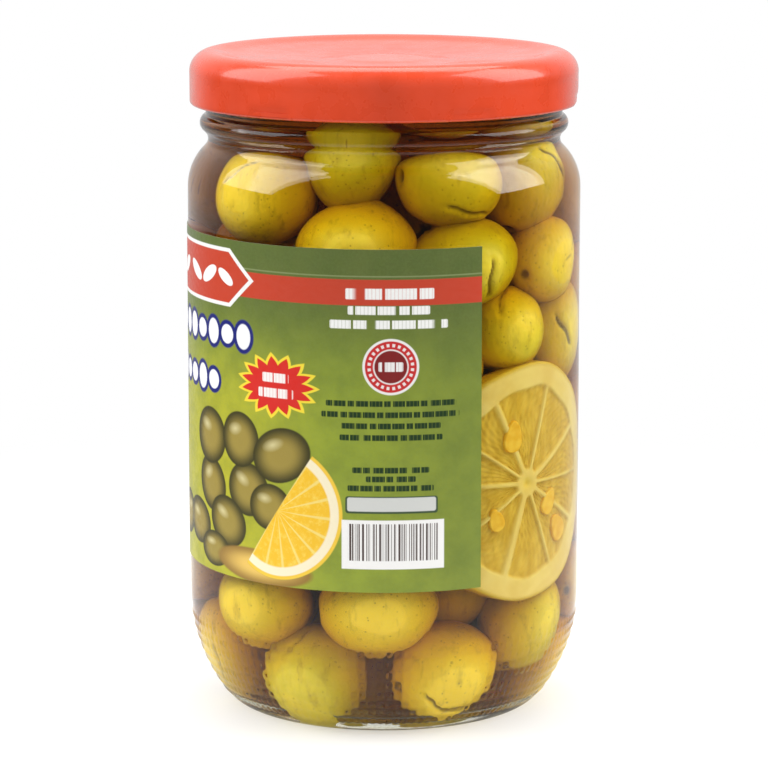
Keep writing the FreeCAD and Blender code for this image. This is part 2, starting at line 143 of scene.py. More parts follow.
class FillLook(bpy.types.PropertyGroup):
    overlap: length("Overlap", "How far the brine reaches into the wall", 0.2)
    count: IntProperty(name="Olives", description="Number of olives", default=98)
    olive_length: length("Olive length", "Mean length of an olive", 21.5)
    olive_width: length("Olive width", "Mean width of an olive", 18.4)
    golden: colour("Golden olive", "Ripe side of an olive", (0.86, 0.60, 0.04))
    mossy: colour("Mossy olive", "Greener side of an olive", (0.62, 0.50, 0.03))
    lemon_width: length("Lemon slice", "Diameter of the slice", 53.0)
    lemon_thickness: length("Slice thickness", "Thickness of the slice", 5.0)
    seed: IntProperty(name="Seed", description="Start of the random draws", default=7)


class StageLook(bpy.types.PropertyGroup):
    distance: length("Camera distance", "From the camera to the jar's axis", 800.0)
    aim: length("Aim height", "Height that the camera looks at", 82.7)
    azimuth: FloatProperty(
        name="Azimuth", description="Camera's turn round the jar", default=math.radians(75.1), subtype="ANGLE"
    )
    elevation: FloatProperty(
        name="Elevation", description="Camera's rise", default=math.radians(9.63), subtype="ANGLE"
    )
    lens: FloatProperty(name="Lens", description="Focal length in millimetres", default=169.0)


# ---------------------------------------------------------------- shapes


def arc(centre, radius, start, end, step):
    """Points on a circle from one angle to another, in degrees, about one step apart."""
    count = max(3, int(abs(math.radians(end - start)) * radius / step) + 1)
    turn = np.radians(np.linspace(start, end, count))
    return np.stack([centre[0] + radius * np.cos(turn), centre[1] + radius * np.sin(turn)], 1)


def straight(start, end, step):
    """Points on a line, about one step apart, with both ends."""
    start, end = np.array(start, float), np.array(end, float)
    count = max(2, int(np.linalg.norm(end - start) / step) + 1)
    return start + (end - start) * np.linspace(0, 1, count)[:, None]


def chain(*stretches):
    """The stretches joined into one outline, with repeated points dropped."""
    points = np.concatenate(stretches)
    gaps = np.linalg.norm(np.diff(points, axis=0), axis=1)
    return points[np.concatenate([[True], gaps > 1e-7])]


def heading(start, end):
    """The direction from one point to another, in degrees."""
    return math.degrees(math.atan2(end[1] - start[1], end[0] - start[0]))


def leg(hypotenuse, other):
    return math.sqrt(hypotenuse**2 - other**2)


def turned(profile, columns, start=0.0):
    """A profile of (radius, height) points carried round the axis: x = r cos t, y = r sin t, z = height."""
    turn = start + np.linspace(0, 2 * math.pi, columns, endpoint=False)
    across, up = profile[:, :1], profile[:, 1:]
    return np.stack([across * np.cos(turn), across * np.sin(turn), up + 0 * turn], -1)


def near(value, centre, width):
    """A soft bump of height 1 at the centre: e to the minus squared distance over squared width."""
    return np.exp(-(((value - centre) / width) ** 2))


def smooth(value, low, high):
    """0 below low, 1 above high, and an S curve between."""
    t = np.clip((value - low) / (high - low), 0, 1)
    return t * t * (3 - 2 * t)


def make_piece(name, rings, first=None, last=None, loop=False, values=None, uv=None, sharp=35):
    """One mesh from rings of points shaped (pieces, rows, columns, 3).

    Columns close round each ring. The poles first and last, shaped (pieces, 3), shut the two ends, or
    loop joins the last ring to the first. Values hold one number for each point, rings first."""
    pieces, rows, columns = rings.shape[:3]
    poles = [pole[:, None, :] for pole in (first, last) if pole is not None]
    points = np.concatenate([rings.reshape(pieces, rows * columns, 3), *poles], axis=1)
    row, column = np.meshgrid(np.arange(rows if loop else rows - 1), np.arange(columns), indexing="ij")
    after, beside = (row + 1) % rows, (column + 1) % columns
    here, there = row * columns, after * columns
    quads = np.stack([here + column, here + beside, there + beside, there + column], -1).reshape(-1, 4)
    ring = np.arange(columns)
    fans = []
    if first is not None:
        fans.append(np.stack([np.full(columns, rows * columns), (ring + 1) % columns, ring], 1))
    if last is not None:
        base, tip = (rows - 1) * columns, points.shape[1] - 1
        fans.append(np.stack([np.full(columns, tip), base + ring, base + (ring + 1) % columns], 1))
    fans = np.concatenate(fans) if fans else np.zeros((0, 3), int)
    shift = (np.arange(pieces) * points.shape[1])[:, None, None]
    quads, fans = (quads + shift).reshape(-1, 4), (fans + shift).reshape(-1, 3)
    flat = points.reshape(-1, 3)
    halves = [quads[:, :3], quads[:, [0, 2, 3]], fans]
    triangles = flat[np.concatenate(halves)]
    volume = np.einsum("ij,ij->i", triangles[:, 0], np.cross(triangles[:, 1], triangles[:, 2])).sum()
    if volume < 0:
        quads, fans = quads[:, ::-1], fans[:, ::-1]

    mesh = bpy.data.meshes.new(name)
    order = np.concatenate([quads.ravel(), fans.ravel()]).astype(np.int32)
    starts = np.concatenate([np.arange(len(quads)) * 4, len(quads) * 4 + np.arange(len(fans)) * 3])
    mesh.vertices.add(len(flat))
    mesh.vertices.foreach_set("co", flat.astype(np.float32).ravel())
    mesh.loops.add(len(order))
    mesh.loops.foreach_set("vertex_index", order)
    mesh.polygons.add(len(starts))
    mesh.polygons.foreach_set("loop_start", starts.astype(np.int32))
    mesh.update(calc_edges=True)
    mesh.shade_smooth()
    if sharp:
        mesh.set_sharp_from_angle(angle=math.radians(sharp))
    for key, numbers in (values or {}).items():
        layer = mesh.attributes.new(key, "FLOAT", "POINT")
        layer.data.foreach_set("value", np.asarray(numbers, np.float32).ravel())
    if uv is not None:
        layer = mesh.uv_layers.new(name="UVMap")
        layer.data.foreach_set("uv", uv.reshape(-1, 2)[order].astype(np.float32).ravel())
    if mesh.validate():
        raise RuntimeError(f"the mesh of {name} has faulty faces")
    piece = bpy.data.objects.new(name, mesh)
    bpy.context.scene.collection.objects.link(piece)
    return piece


def place(piece, material, node=None):
    """Gives the piece its material and ties it to the frame."""
    piece.data.materials.append(material)
    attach(piece, "root")
    if node:
        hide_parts(node)
    return piece


# ---------------------------------------------------------------- materials


def new_material(name):
    """An empty node material and a function that adds nodes to it."""
    material = bpy.data.materials.new(name)
    material.use_nodes = True
    material.node_tree.nodes.clear()
    return material, material.node_tree


def add(tree, kind, **settings):
    """A node of that kind, with plain settings and with sockets set by name."""
    node = tree.nodes.new(kind)
    for key, value in settings.items():
        if hasattr(node, key):
            setattr(node, key, value)
        else:
            node.inputs[key.replace("_", " ")].default_value = value
    return node


def join(tree, source, target):
    tree.links.new(source, target)


def math_node(tree, operation, *inputs):
    """A Math node whose inputs are numbers or other nodes' outputs."""
    node = tree.nodes.new("ShaderNodeMath")
    node.operation = operation
    for socket, value in zip(node.inputs, inputs):
        if isinstance(value, (int, float)):
            socket.default_value = value
        else:
            tree.links.new(value, socket)
    return node.outputs[0]


def times(tree, first, second):
    return math_node(tree, "MULTIPLY", first, second)


def plus(tree, first, second):
    return math_node(tree, "ADD", first, second)


def minus(tree, first, second):
    return math_node(tree, "SUBTRACT", first, second)


def larger(tree, first, second):
    return math_node(tree, "MAXIMUM", first, second)


def vector_node(tree, operation, *inputs):
    """A Vector Math node whose inputs are triples or other nodes' outputs."""
    node = tree.nodes.new("ShaderNodeVectorMath")
    node.operation = operation
    for socket, value in zip(node.inputs, inputs):
        if isinstance(value, tuple):
            socket.default_value = value
        else:
            tree.links.new(value, socket)
    return node.outputs["Value"] if operation in ("LENGTH", "DOT_PRODUCT") else node.outputs["Vector"]


def split_vector(tree, vector):
    """The three parts of a vector."""
    node = tree.nodes.new("ShaderNodeSeparateXYZ")
    tree.links.new(vector, node.inputs[0])
    return node.outputs


def mix_colour(tree, factor, first, second):
    """A colour mix; factor is a number or an output, and the colours are triples or outputs."""
    node = tree.nodes.new("ShaderNodeMix")
    node.data_type = "RGBA"
    for socket, value in ((node.inputs[0], factor), (node.inputs[6], first), (node.inputs[7], second)):
        if isinstance(value, (int, float)):
            socket.default_value = value
        elif hasattr(value, "links"):
            tree.links.new(value, socket)
        else:
            socket.default_value = (*value, 1)
    return node.outputs[2]


def spread(tree, value, low, high, start=0.0, end=1.0):
    """A smooth Map Range from low..high to start..end."""
    node = tree.nodes.new("ShaderNodeMapRange")
    node.interpolation_type = "SMOOTHSTEP"
    tree.links.new(value, node.inputs[0])
    for socket, number in zip(node.inputs[1:5], (low, high, start, end)):
        socket.default_value = number
    return node.outputs[0]


def new_group(name, inputs, outputs):
    """A shader node group with its named sockets, and its two end nodes."""
    group = bpy.data.node_groups.new(name, "ShaderNodeTree")
    for label, kind, value in inputs:
        socket = group.interface.new_socket(label, in_out="INPUT", socket_type=kind)
        if value is not None:
            socket.default_value = value
    for label, kind in outputs:
        group.interface.new_socket(label, in_out="OUTPUT", socket_type=kind)
    return group, group.nodes.new("NodeGroupInput"), group.nodes.new("NodeGroupOutput")


def put_group(tree, group, **inputs):
    """A placed group; inputs are numbers, triples or other nodes' outputs, by socket name."""
    node = tree.nodes.new("ShaderNodeGroup")
    node.node_tree = group
    for key, value in inputs.items():
        socket = node.inputs[key.replace("_", " ")]
        if hasattr(value, "links"):
            tree.links.new(value, socket)
        else:
            socket.default_value = value
    return node


def noise(tree, vector, scale, detail=3.0, roughness=0.5, distortion=0.0):
    """A Noise texture's value on the given coordinates."""
    node = tree.nodes.new("ShaderNodeTexNoise")
    settings = {"Scale": scale, "Detail": detail, "Roughness": roughness, "Distortion": distortion}
    for key, value in settings.items():
        node.inputs[key].default_value = value
    tree.links.new(vector, node.inputs["Vector"])
    return node.outputs["Fac"]


def object_place(tree):
    return tree.nodes.new("ShaderNodeTexCoord").outputs["Object"]


def attribute(tree, name):
    return add(tree, "ShaderNodeAttribute", attribute_name=name).outputs["Fac"]


def bump(tree, height, distance, strength=1.0):
    node = add(tree, "ShaderNodeBump", Strength=strength, Distance=distance)
    join(tree, height, node.inputs["Height"])
    return node.outputs["Normal"]


def clear_material(name, tint, ior, absorption=None):
    """Clear glass or liquid that lets the lamps through to what it holds."""
    material, tree = new_material(name)
    body = add(
        tree, "ShaderNodeBsdfPrincipled", Base_Color=(*tint, 1), Roughness=0.0, IOR=ior, Transmission_Weight=1.0
    )
    through = add(tree, "ShaderNodeBsdfTransparent", Color=(*tint, 1))
    path = add(tree, "ShaderNodeLightPath")
    open_way = larger(tree, path.outputs["Is Shadow Ray"], path.outputs["Is Diffuse Ray"])
    mix = add(tree, "ShaderNodeMixShader")
    out = add(tree, "ShaderNodeOutputMaterial")
    join(tree, open_way, mix.inputs[0])
    join(tree, body.outputs[0], mix.inputs[1])
    join(tree, through.outputs[0], mix.inputs[2])
    join(tree, mix.outputs[0], out.inputs["Surface"])
    if absorption:
        depth = add(tree, "ShaderNodeVolumeAbsorption", Color=(*absorption[0], 1), Density=absorption[1])
        join(tree, depth.outputs[0], out.inputs["Volume"])
    return material


def opaque_material(name, roughness, **settings):
    """A Principled material; returns it with its tree and its shader node."""
    material, tree = new_material(name)
    body = add(tree, "ShaderNodeBsdfPrincipled", Roughness=roughness, **settings)
    out = add(tree, "ShaderNodeOutputMaterial")
    join(tree, body.outputs[0], out.inputs["Surface"])
    return material, tree, body


# ---------------------------------------------------------------- glass


def cavity_outline(glass, grow):
    """The inside of the glass from the floor's middle up to the bore, moved out by grow.

    Floor, toe, heel, wall, shoulder and throat are arcs and lines that touch one another."""
    outer = GLASS_HIGH.x
    wall = outer - glass.wall + grow
    bore = glass.bore + grow
    shoulder = glass.shoulder - glass.wall + grow
    throat = glass.throat - grow
    heel = glass.heel - glass.wall + grow
    toe = glass.inner_toe + grow
    sweep = glass.floor_sweep - grow
    shoulder_centre = (wall - shoulder, glass.shoulder_height)
    throat_across = bore + throat
    throat_rise = leg(shoulder + throat, throat_across - shoulder_centre[0])
    throat_centre = (throat_across, glass.shoulder_height + throat_rise)
    heel_centre = (wall - heel, glass.heel_height)
    floor_centre = (0.0, glass.floor - grow - sweep)
    reach, far = heel - toe, sweep + toe
    span = math.dist(floor_centre, heel_centre)
    along = (span**2 + far**2 - reach**2) / (2 * span)
    aside = leg(far, along)
    ahead = ((heel_centre[0] - floor_centre[0]) / span, (heel_centre[1] - floor_centre[1]) / span)
    toe_centre = (
        floor_centre[0] + ahead[0] * along + ahead[1] * aside,
        floor_centre[1] + ahead[1] * along - ahead[0] * aside,
    )
    floor_turn = heading(floor_centre, toe_centre)
    toe_turn = heading(heel_centre, toe_centre)
    throat_turn = heading(shoulder_centre, throat_centre)
    return chain(
        arc(floor_centre, sweep, 89.2, floor_turn, 4 * MM),
        arc(toe_centre, toe, floor_turn - 180, toe_turn, 1.2 * MM),
        arc(heel_centre, heel, toe_turn, 0, 2 * MM),
        straight((wall, glass.heel_height), (wall, glass.shoulder_height), 9 * MM),
        arc(shoulder_centre, shoulder, 0, throat_turn, 1.2 * MM),
        arc(throat_centre, throat, throat_turn + 180, 180, 0.8 * MM),
        straight((bore, throat_centre[1]), (bore, GLASS_HIGH.z - (glass.finish - glass.bore) / 2), 3 * MM),
    )


def outside_outline(glass):
    """The outside of the glass from the foot's middle up to the rim."""
    outer = GLASS_HIGH.x
    heel_centre = (outer - glass.heel, glass.heel_height)
    foot = heel_centre[0] + leg(glass.heel - glass.toe, glass.heel_height - glass.toe)
    toe_centre = (foot, glass.toe)
    toe_turn = heading(heel_centre, toe_centre)
    shoulder_centre = (outer - glass.shoulder, glass.shoulder_height)
    neck_across = glass.neck + glass.neck_fillet
    neck_centre = (
        neck_across,
        glass.shoulder_height + leg(glass.shoulder + glass.neck_fillet, neck_across - shoulder_centre[0]),
    )
    bead_across = glass.bead - glass.bead_fillet
    bead_rise = leg(glass.bead_fillet + glass.neck_fillet, neck_across - bead_across)
    bead_centre = (bead_across, neck_centre[1] + bead_rise)
    shoulder_turn = heading(shoulder_centre, neck_centre)
    bead_turn = heading(neck_centre, bead_centre)
    bead_end = math.degrees(math.acos((glass.finish - bead_across) / glass.bead_fillet))
    rim = (glass.finish - glass.bore) / 2
    rim_centre = (glass.finish - rim, GLASS_HIGH.z - rim)
    bearing = foot - glass.bearing
    dome = np.linspace(1.5 * MM, bearing, 7)
    push_up = np.stack([dome, glass.push_up * (1 - (dome / bearing) ** 2)], 1)
    return chain(
        push_up,
        straight((bearing, 0), (foot, 0), 1 * MM),
        arc(toe_centre, glass.toe, -90, toe_turn, 0.8 * MM),
        arc(heel_centre, glass.heel, toe_turn, 0, 0.52 * MM),
        straight((outer, glass.heel_height), (outer, glass.shoulder_height), 9 * MM),
        arc(shoulder_centre, glass.shoulder, 0, shoulder_turn, 1.0 * MM),
        arc(neck_centre, glass.neck_fillet, shoulder_turn + 180, bead_turn, 0.7 * MM),
        arc(bead_centre, glass.bead_fillet, bead_turn - 180, bead_end, 0.5 * MM),
        straight((glass.finish, bead_centre[1] + 1.9 * MM), (glass.finish, rim_centre[1]), 1.2 * MM),
        arc(rim_centre, rim, 0, 170, 0.6 * MM),
    )


class OLIVEJAR_OT_glass(bpy.types.Operator):
    """Make the glass: a turned wall with a stippled heel, two mould seams and six threads"""

    bl_idname = "olive_jar.glass"
    bl_label = "Glass"

    def execute(self, context):
        glass, closure = context.scene.jar_glass, context.scene.jar_closure
        outside = outside_outline(glass)
        inside = cavity_outline(glass, 0)[::-1]
        columns = glass.dot_count * 4
        profile = chain(outside, inside)
        rings = turned(profile, columns)
        turn = np.linspace(0, 2 * math.pi, columns, endpoint=False)

        tangent = np.gradient(profile, axis=0)
        normal = np.stack([tangent[:, 1], -tangent[:, 0]], 1)
        normal /= np.linalg.norm(normal, axis=1)[:, None]
        count = len(outside)
        way = np.concatenate([[0], np.cumsum(np.linalg.norm(np.diff(profile, axis=0), axis=1))])
        start = way[np.argmax(profile[:, 1] > 3.2 * MM)]
        pitch = glass.dot_pitch
        outer = np.arange(len(profile)) < count
        steps = (way - start) / pitch
        up_gap = (steps - np.round(steps)) * pitch
        in_rows = outer & (np.round(steps) >= 0) & (np.round(steps) < glass.dot_rows)
        place_round = turn / (2 * math.pi) * glass.dot_count
        round_gap = (place_round - np.round(place_round)) * 2 * math.pi / glass.dot_count * GLASS_HIGH.x
        dots = near(up_gap, 0, 0.62 * MM)[:, None] * near(round_gap, 0, 0.55 * MM)[None, :]
        relief = glass.dot_height * dots * in_rows[:, None]
        seam_turn = np.radians(-2.5)
        seam_gap = np.abs(np.angle(np.exp(1j * 2 * (turn - seam_turn)))) / 2 * GLASS_HIGH.x
        seam_rows = outer & (profile[:, 1] > 1 * MM) & (profile[:, 1] < glass.shoulder_height + 9 * MM)
        relief = relief + glass.seam_height * near(seam_gap, 0, 0.35 * MM)[None, :] * seam_rows[:, None]
        thread_z = LID_LOW.z + glass.thread_rise
        thread_turn = np.abs(np.angle(np.exp(1j * closure.lugs * (turn - closure.turn)))) / closure.lugs
        held = 1 - smooth(thread_turn, glass.thread_sweep, glass.thread_sweep + 0.06)
        threads = near(profile[:, 1], thread_z, 0.9 * MM)[:, None] * held[None, :]
        relief = relief + glass.thread_height * threads * (outer & (profile[:, 1] > LID_LOW.z))[:, None]
        ripple = 0.035 * MM * (np.sin(3 * turn + 1)[None, :] * np.sin(way / (9 * MM))[:, None] - 1)
        relief = relief + ripple * (outer & (profile[:, 1] > glass.heel_height))[:, None]

        outward = normal[:, 0]
        rings[..., 0] += relief * outward[:, None] * np.cos(turn)
        rings[..., 1] += relief * outward[:, None] * np.sin(turn)
        rings[..., 2] += relief * normal[:, 1:]
        foot, crown = np.array([[0, 0, glass.push_up]]), np.array([[0, 0, glass.floor]])
        piece = make_piece("glass_jar_visual", rings[None], foot, crown, sharp=0)
        place(piece, clear_material("clear_glass", (0.965, 0.975, 0.95), 1.5), "glass_jar")
        return {"FINISHED"}


# ---------------------------------------------------------------- lid and liner


class OLIVEJAR_OT_lid(bpy.types.Operator):
    """Make the pressed lid: dished panel with a button, rounded edge, skirt, rolled foot and six lugs"""

    bl_idname = "olive_jar.lid"
    bl_label = "Lid and sealing ring"

    def execute(self, context):
        closure = context.scene.jar_closure
        edge, top, foot = LID_HIGH.x, LID_HIGH.z, LID_LOW.z
        dish = top - closure.depth - closure.dish
        corners = [
            (1 * MM, dish + closure.button_rise),
            (closure.button - closure.step, dish + closure.button_rise),
            (closure.button, dish + closure.ring_rise),
            (closure.ring - closure.step, dish + closure.ring_rise),
            (closure.ring, dish),
            (closure.panel, top - closure.depth),
            (closure.panel + closure.slope, top),
            (edge - closure.shoulder, top),
        ]
        upper = chain(*[straight(a, b, 0.45 * MM) for a, b in zip(corners, corners[1:])])
        upper[2:-2, 1] = np.convolve(upper[:, 1], np.ones(5) / 5, mode="valid")
        shoulder_centre = (edge - closure.shoulder, top - closure.shoulder)
        curl_centre = (edge - closure.curl, foot + closure.curl)
        crest = upper[::2]
        under = crest[::-1] - [0, closure.tin]
        outside = chain(
            crest,
            arc(shoulder_centre, closure.shoulder, 90, 0, 0.45 * MM),
            straight((edge, shoulder_centre[1]), (edge, curl_centre[1]), 0.6 * MM),
            arc(curl_centre, closure.curl, 0, -180, 0.25 * MM),
        )
        skirt = edge - closure.tin
        inside = chain(
            np.array([(edge - 2 * closure.curl, curl_centre[1]), (skirt, curl_centre[1] + closure.curl)]),
            np.array([(skirt, curl_centre[1] + closure.curl), (skirt, shoulder_centre[1])]),
            arc(shoulder_centre, closure.shoulder - closure.tin, 0, 90, 0.9 * MM),
            under,
        )
        profile = chain(outside, inside)
        columns = 480
        rings = turned(profile, columns, closure.turn)
        turn = np.linspace(0, 2 * math.pi, columns, endpoint=False)
        from_lug = np.abs(np.angle(np.exp(1j * closure.lugs * turn))) / closure.lugs
        hollow = 1 - smooth(from_lug, closure.lug_sweep * 0.32, closure.lug_sweep * 0.62)
        low = near(profile[:, 1], foot + 1.1 * MM, 1.3 * MM) * (profile[:, 0] > edge - 2 * MM)
        push = closure.dent * 1.3 * low[:, None] * hollow[None, :]
        wave = 0.05 * MM * (1 - np.cos(4 * turn + 0.7)[None, :]) * (profile[:, 1:] < shoulder_centre[1])
        around = closure.turn + turn
        rings[..., 0] -= (push + wave) * np.cos(around)
        rings[..., 1] -= (push + wave) * np.sin(around)
        button = np.array([[0, 0, dish + closure.button_rise]])
        lid = make_piece("lid_visual", rings[None], button, button - [0, 0, closure.tin], sharp=50)

        tip = edge - closure.lug_reach
        across = np.array([tip, skirt, skirt, tip])
        top_face = closure.lug_thickness
        up = foot + closure.curl / 2 + np.array([0.1 * MM, 0.2 * MM, top_face, top_face])
        sweep = np.linspace(-0.5, 0.5, 11) * closure.lug_sweep
        centres = closure.turn + np.arange(closure.lugs) * 2 * math.pi / closure.lugs
        angle = (centres[:, None] + sweep[None, :])[..., None]
        shape = [across * np.cos(angle), across * np.sin(angle), up + 0 * angle]
        blocks = np.stack(shape, -1)
        lugs = make_piece("lid_lugs_visual", blocks, blocks[:, 0].mean(1), blocks[:, -1].mean(1))

        material = lacquered_tin(closure.lacquer)
        place(lid, material, "lid")
        place(lugs, material, None)

        start, end = closure.panel + closure.slope, edge - closure.shoulder
        low_z, high_z = LINER_LOW.z, LINER_HIGH.z
        outer, inner_edge = LINER_HIGH.x, LINER_HIGH.x - 2.6 * MM
        ring = chain(
            straight((inner_edge, low_z), (outer, low_z), 1 * MM),
            straight((outer, low_z), (outer, high_z - 0.3 * MM), 1 * MM),
            straight((outer, high_z - 0.3 * MM), (end, high_z), 1 * MM),
            straight((end, high_z), (start, high_z), 1 * MM),
            straight((start, high_z), (inner_edge, high_z - 0.2 * MM), 1 * MM),
        )
        ring = turned(ring, 192)
        liner = make_piece("lid_liner_visual", ring[None], loop=True)
        soft_ring, tree, body = opaque_material("sealing_ring", 0.6)
        body.inputs["Base Color"].default_value = (0.66, 0.62, 0.5, 1)
        join(tree, bump(tree, noise(tree, object_place(tree), 900), 0.0001), body.inputs["Normal"])
        place(liner, soft_ring, "lid_liner")
        return {"FINISHED"}


def lacquered_tin(red):
    """Red lacquer with faint cloudiness, fine dust and a smooth clear coat."""
    material, tree, body = opaque_material(
        "red_lacquered_tin", 0.3, Coat_Weight=0.6, Coat_Roughness=0.08, Specular_IOR_Level=0.5
    )
    place_at = object_place(tree)
    cloud = noise(tree, place_at, 60, 4)
    deep = tuple(c * 0.86 for c in red)
    join(tree, mix_colour(tree, spread(tree, cloud, 0.35, 0.65), deep, tuple(red)), body.inputs["Base Color"])
    join(tree, spread(tree, noise(tree, place_at, 240, 5), 0.3, 0.75, 0.24, 0.36), body.inputs["Roughness"])
    orange_peel = bump(tree, noise(tree, place_at, 1500, 2), 0.00003, 0.4)
    join(tree, orange_peel, body.inputs["Normal"])
    return material


# ---------------------------------------------------------------- label


def label_groups():
    """The node groups that draw the label: each takes the place on the paper, in mm, and gives a mask."""
    place_socket = ("Place", "NodeSocketVector", None)

    box, source, out = new_group(
        "Label Box",
        [place_socket, ("Centre", "NodeSocketVector", (0, 0, 0)), ("Half", "NodeSocketVector", (1, 1, 0)),
         ("Corner", "NodeSocketFloat", 0.5)],
        [("Mask", "NodeSocketFloat")],
    )
    off = vector_node(box, "SUBTRACT", source.outputs["Place"], source.outputs["Centre"])
    off = vector_node(box, "ABSOLUTE", off)
    over = vector_node(box, "SUBTRACT", off, source.outputs["Half"])
    corner = box.nodes.new("ShaderNodeCombineXYZ")
    for socket in corner.inputs[:2]:
        box.links.new(source.outputs["Corner"], socket)
    over = vector_node(box, "ADD", over, corner.outputs[0])
    flat = vector_node(box, "MULTIPLY", vector_node(box, "MAXIMUM", over, (0, 0, 0)), (1, 1, 0))
    gap = minus(box, vector_node(box, "LENGTH", flat), source.outputs["Corner"])
    parts = split_vector(box, over)
    inner = math_node(box, "MINIMUM", larger(box, parts[0], parts[1]), 0.0)
    gap = plus(box, gap, inner)
    box.links.new(spread(box, gap, -0.12, 0.12, 1.0, 0.0), out.inputs["Mask"])

    disc, source, out = new_group(
        "Label Disc",
        [place_socket, ("Centre", "NodeSocketVector", (0, 0, 0)), ("Half", "NodeSocketVector", (1, 1, 1)),
         ("Turn", "NodeSocketFloat", 0.0), ("Soft", "NodeSocketFloat", 0.03)],
        [("Mask", "NodeSocketFloat"), ("Reach", "NodeSocketFloat")],
    )
    off = vector_node(disc, "SUBTRACT", source.outputs["Place"], source.outputs["Centre"])
    rotate = disc.nodes.new("ShaderNodeVectorRotate")
    rotate.rotation_type = "Z_AXIS"
    disc.links.new(off, rotate.inputs["Vector"])
    disc.links.new(source.outputs["Turn"], rotate.inputs["Angle"])
    share = vector_node(disc, "DIVIDE", rotate.outputs[0], source.outputs["Half"])
    reach = vector_node(disc, "LENGTH", vector_node(disc, "MULTIPLY", share, (1, 1, 0)))
    low = minus(disc, 1.0, source.outputs["Soft"])
    ramp = math_node(disc, "DIVIDE", minus(disc, reach, low), source.outputs["Soft"])
    clamped = disc.nodes.new("ShaderNodeClamp")
    disc.links.new(ramp, clamped.inputs[0])
    disc.links.new(minus(disc, 1.0, clamped.outputs[0]), out.inputs["Mask"])
    disc.links.new(reach, out.inputs["Reach"])

    burst, source, out = new_group(
        "Label Burst",
        [place_socket, ("Centre", "NodeSocketVector", (0, 0, 0)), ("Half", "NodeSocketVector", (9, 6, 1)),
         ("Points", "NodeSocketFloat", 14.0), ("Depth", "NodeSocketFloat", 0.22)],
        [("Reach", "NodeSocketFloat")],
    )
    off = vector_node(burst, "SUBTRACT", source.outputs["Place"], source.outputs["Centre"])
    share = vector_node(burst, "DIVIDE", off, source.outputs["Half"])
    parts = split_vector(burst, share)
    turn = math_node(burst, "ARCTAN2", parts[1], parts[0])
    wave = math_node(burst, "PINGPONG", times(burst, turn, source.outputs["Points"]), math.pi)
    dip = times(burst, math_node(burst, "DIVIDE", wave, math.pi), source.outputs["Depth"])
    reach = vector_node(burst, "LENGTH", vector_node(burst, "MULTIPLY", share, (1, 1, 0)))
    burst.links.new(plus(burst, reach, dip), out.inputs["Reach"])

    dashes, source, out = new_group(
        "Label Dashes",
        [place_socket, ("Centre", "NodeSocketVector", (0, 0, 0)), ("Half", "NodeSocketVector", (10, 1, 1)),
         ("Word", "NodeSocketFloat", 4.0), ("Seed", "NodeSocketFloat", 0.0)],
        [("Mask", "NodeSocketFloat")],
    )
    frame_mask = put_group(dashes, box, Place=source.outputs["Place"], Centre=source.outputs["Centre"],
                           Half=source.outputs["Half"], Corner=0.3)
    parts = split_vector(dashes, source.outputs["Place"])
    along = plus(dashes, math_node(dashes, "DIVIDE", parts[0], source.outputs["Word"]),
                      source.outputs["Seed"])
    sway = times(dashes, math_node(dashes, "SINE", times(dashes, along, 4.3)), 0.17)
    word = math_node(dashes, "PINGPONG", plus(dashes, along, sway), 0.5)
    words = spread(dashes, word, 0.05, 0.11)
    stroke = math_node(dashes, "PINGPONG", times(dashes, parts[0], 1.25), 0.5)
    strokes = spread(dashes, stroke, 0.02, 0.2, 0.72, 1.0)
    mask = times(dashes, times(dashes, words, strokes), frame_mask.outputs["Mask"])
    dashes.links.new(mask, out.inputs["Mask"])
    return box, disc, burst, dashes


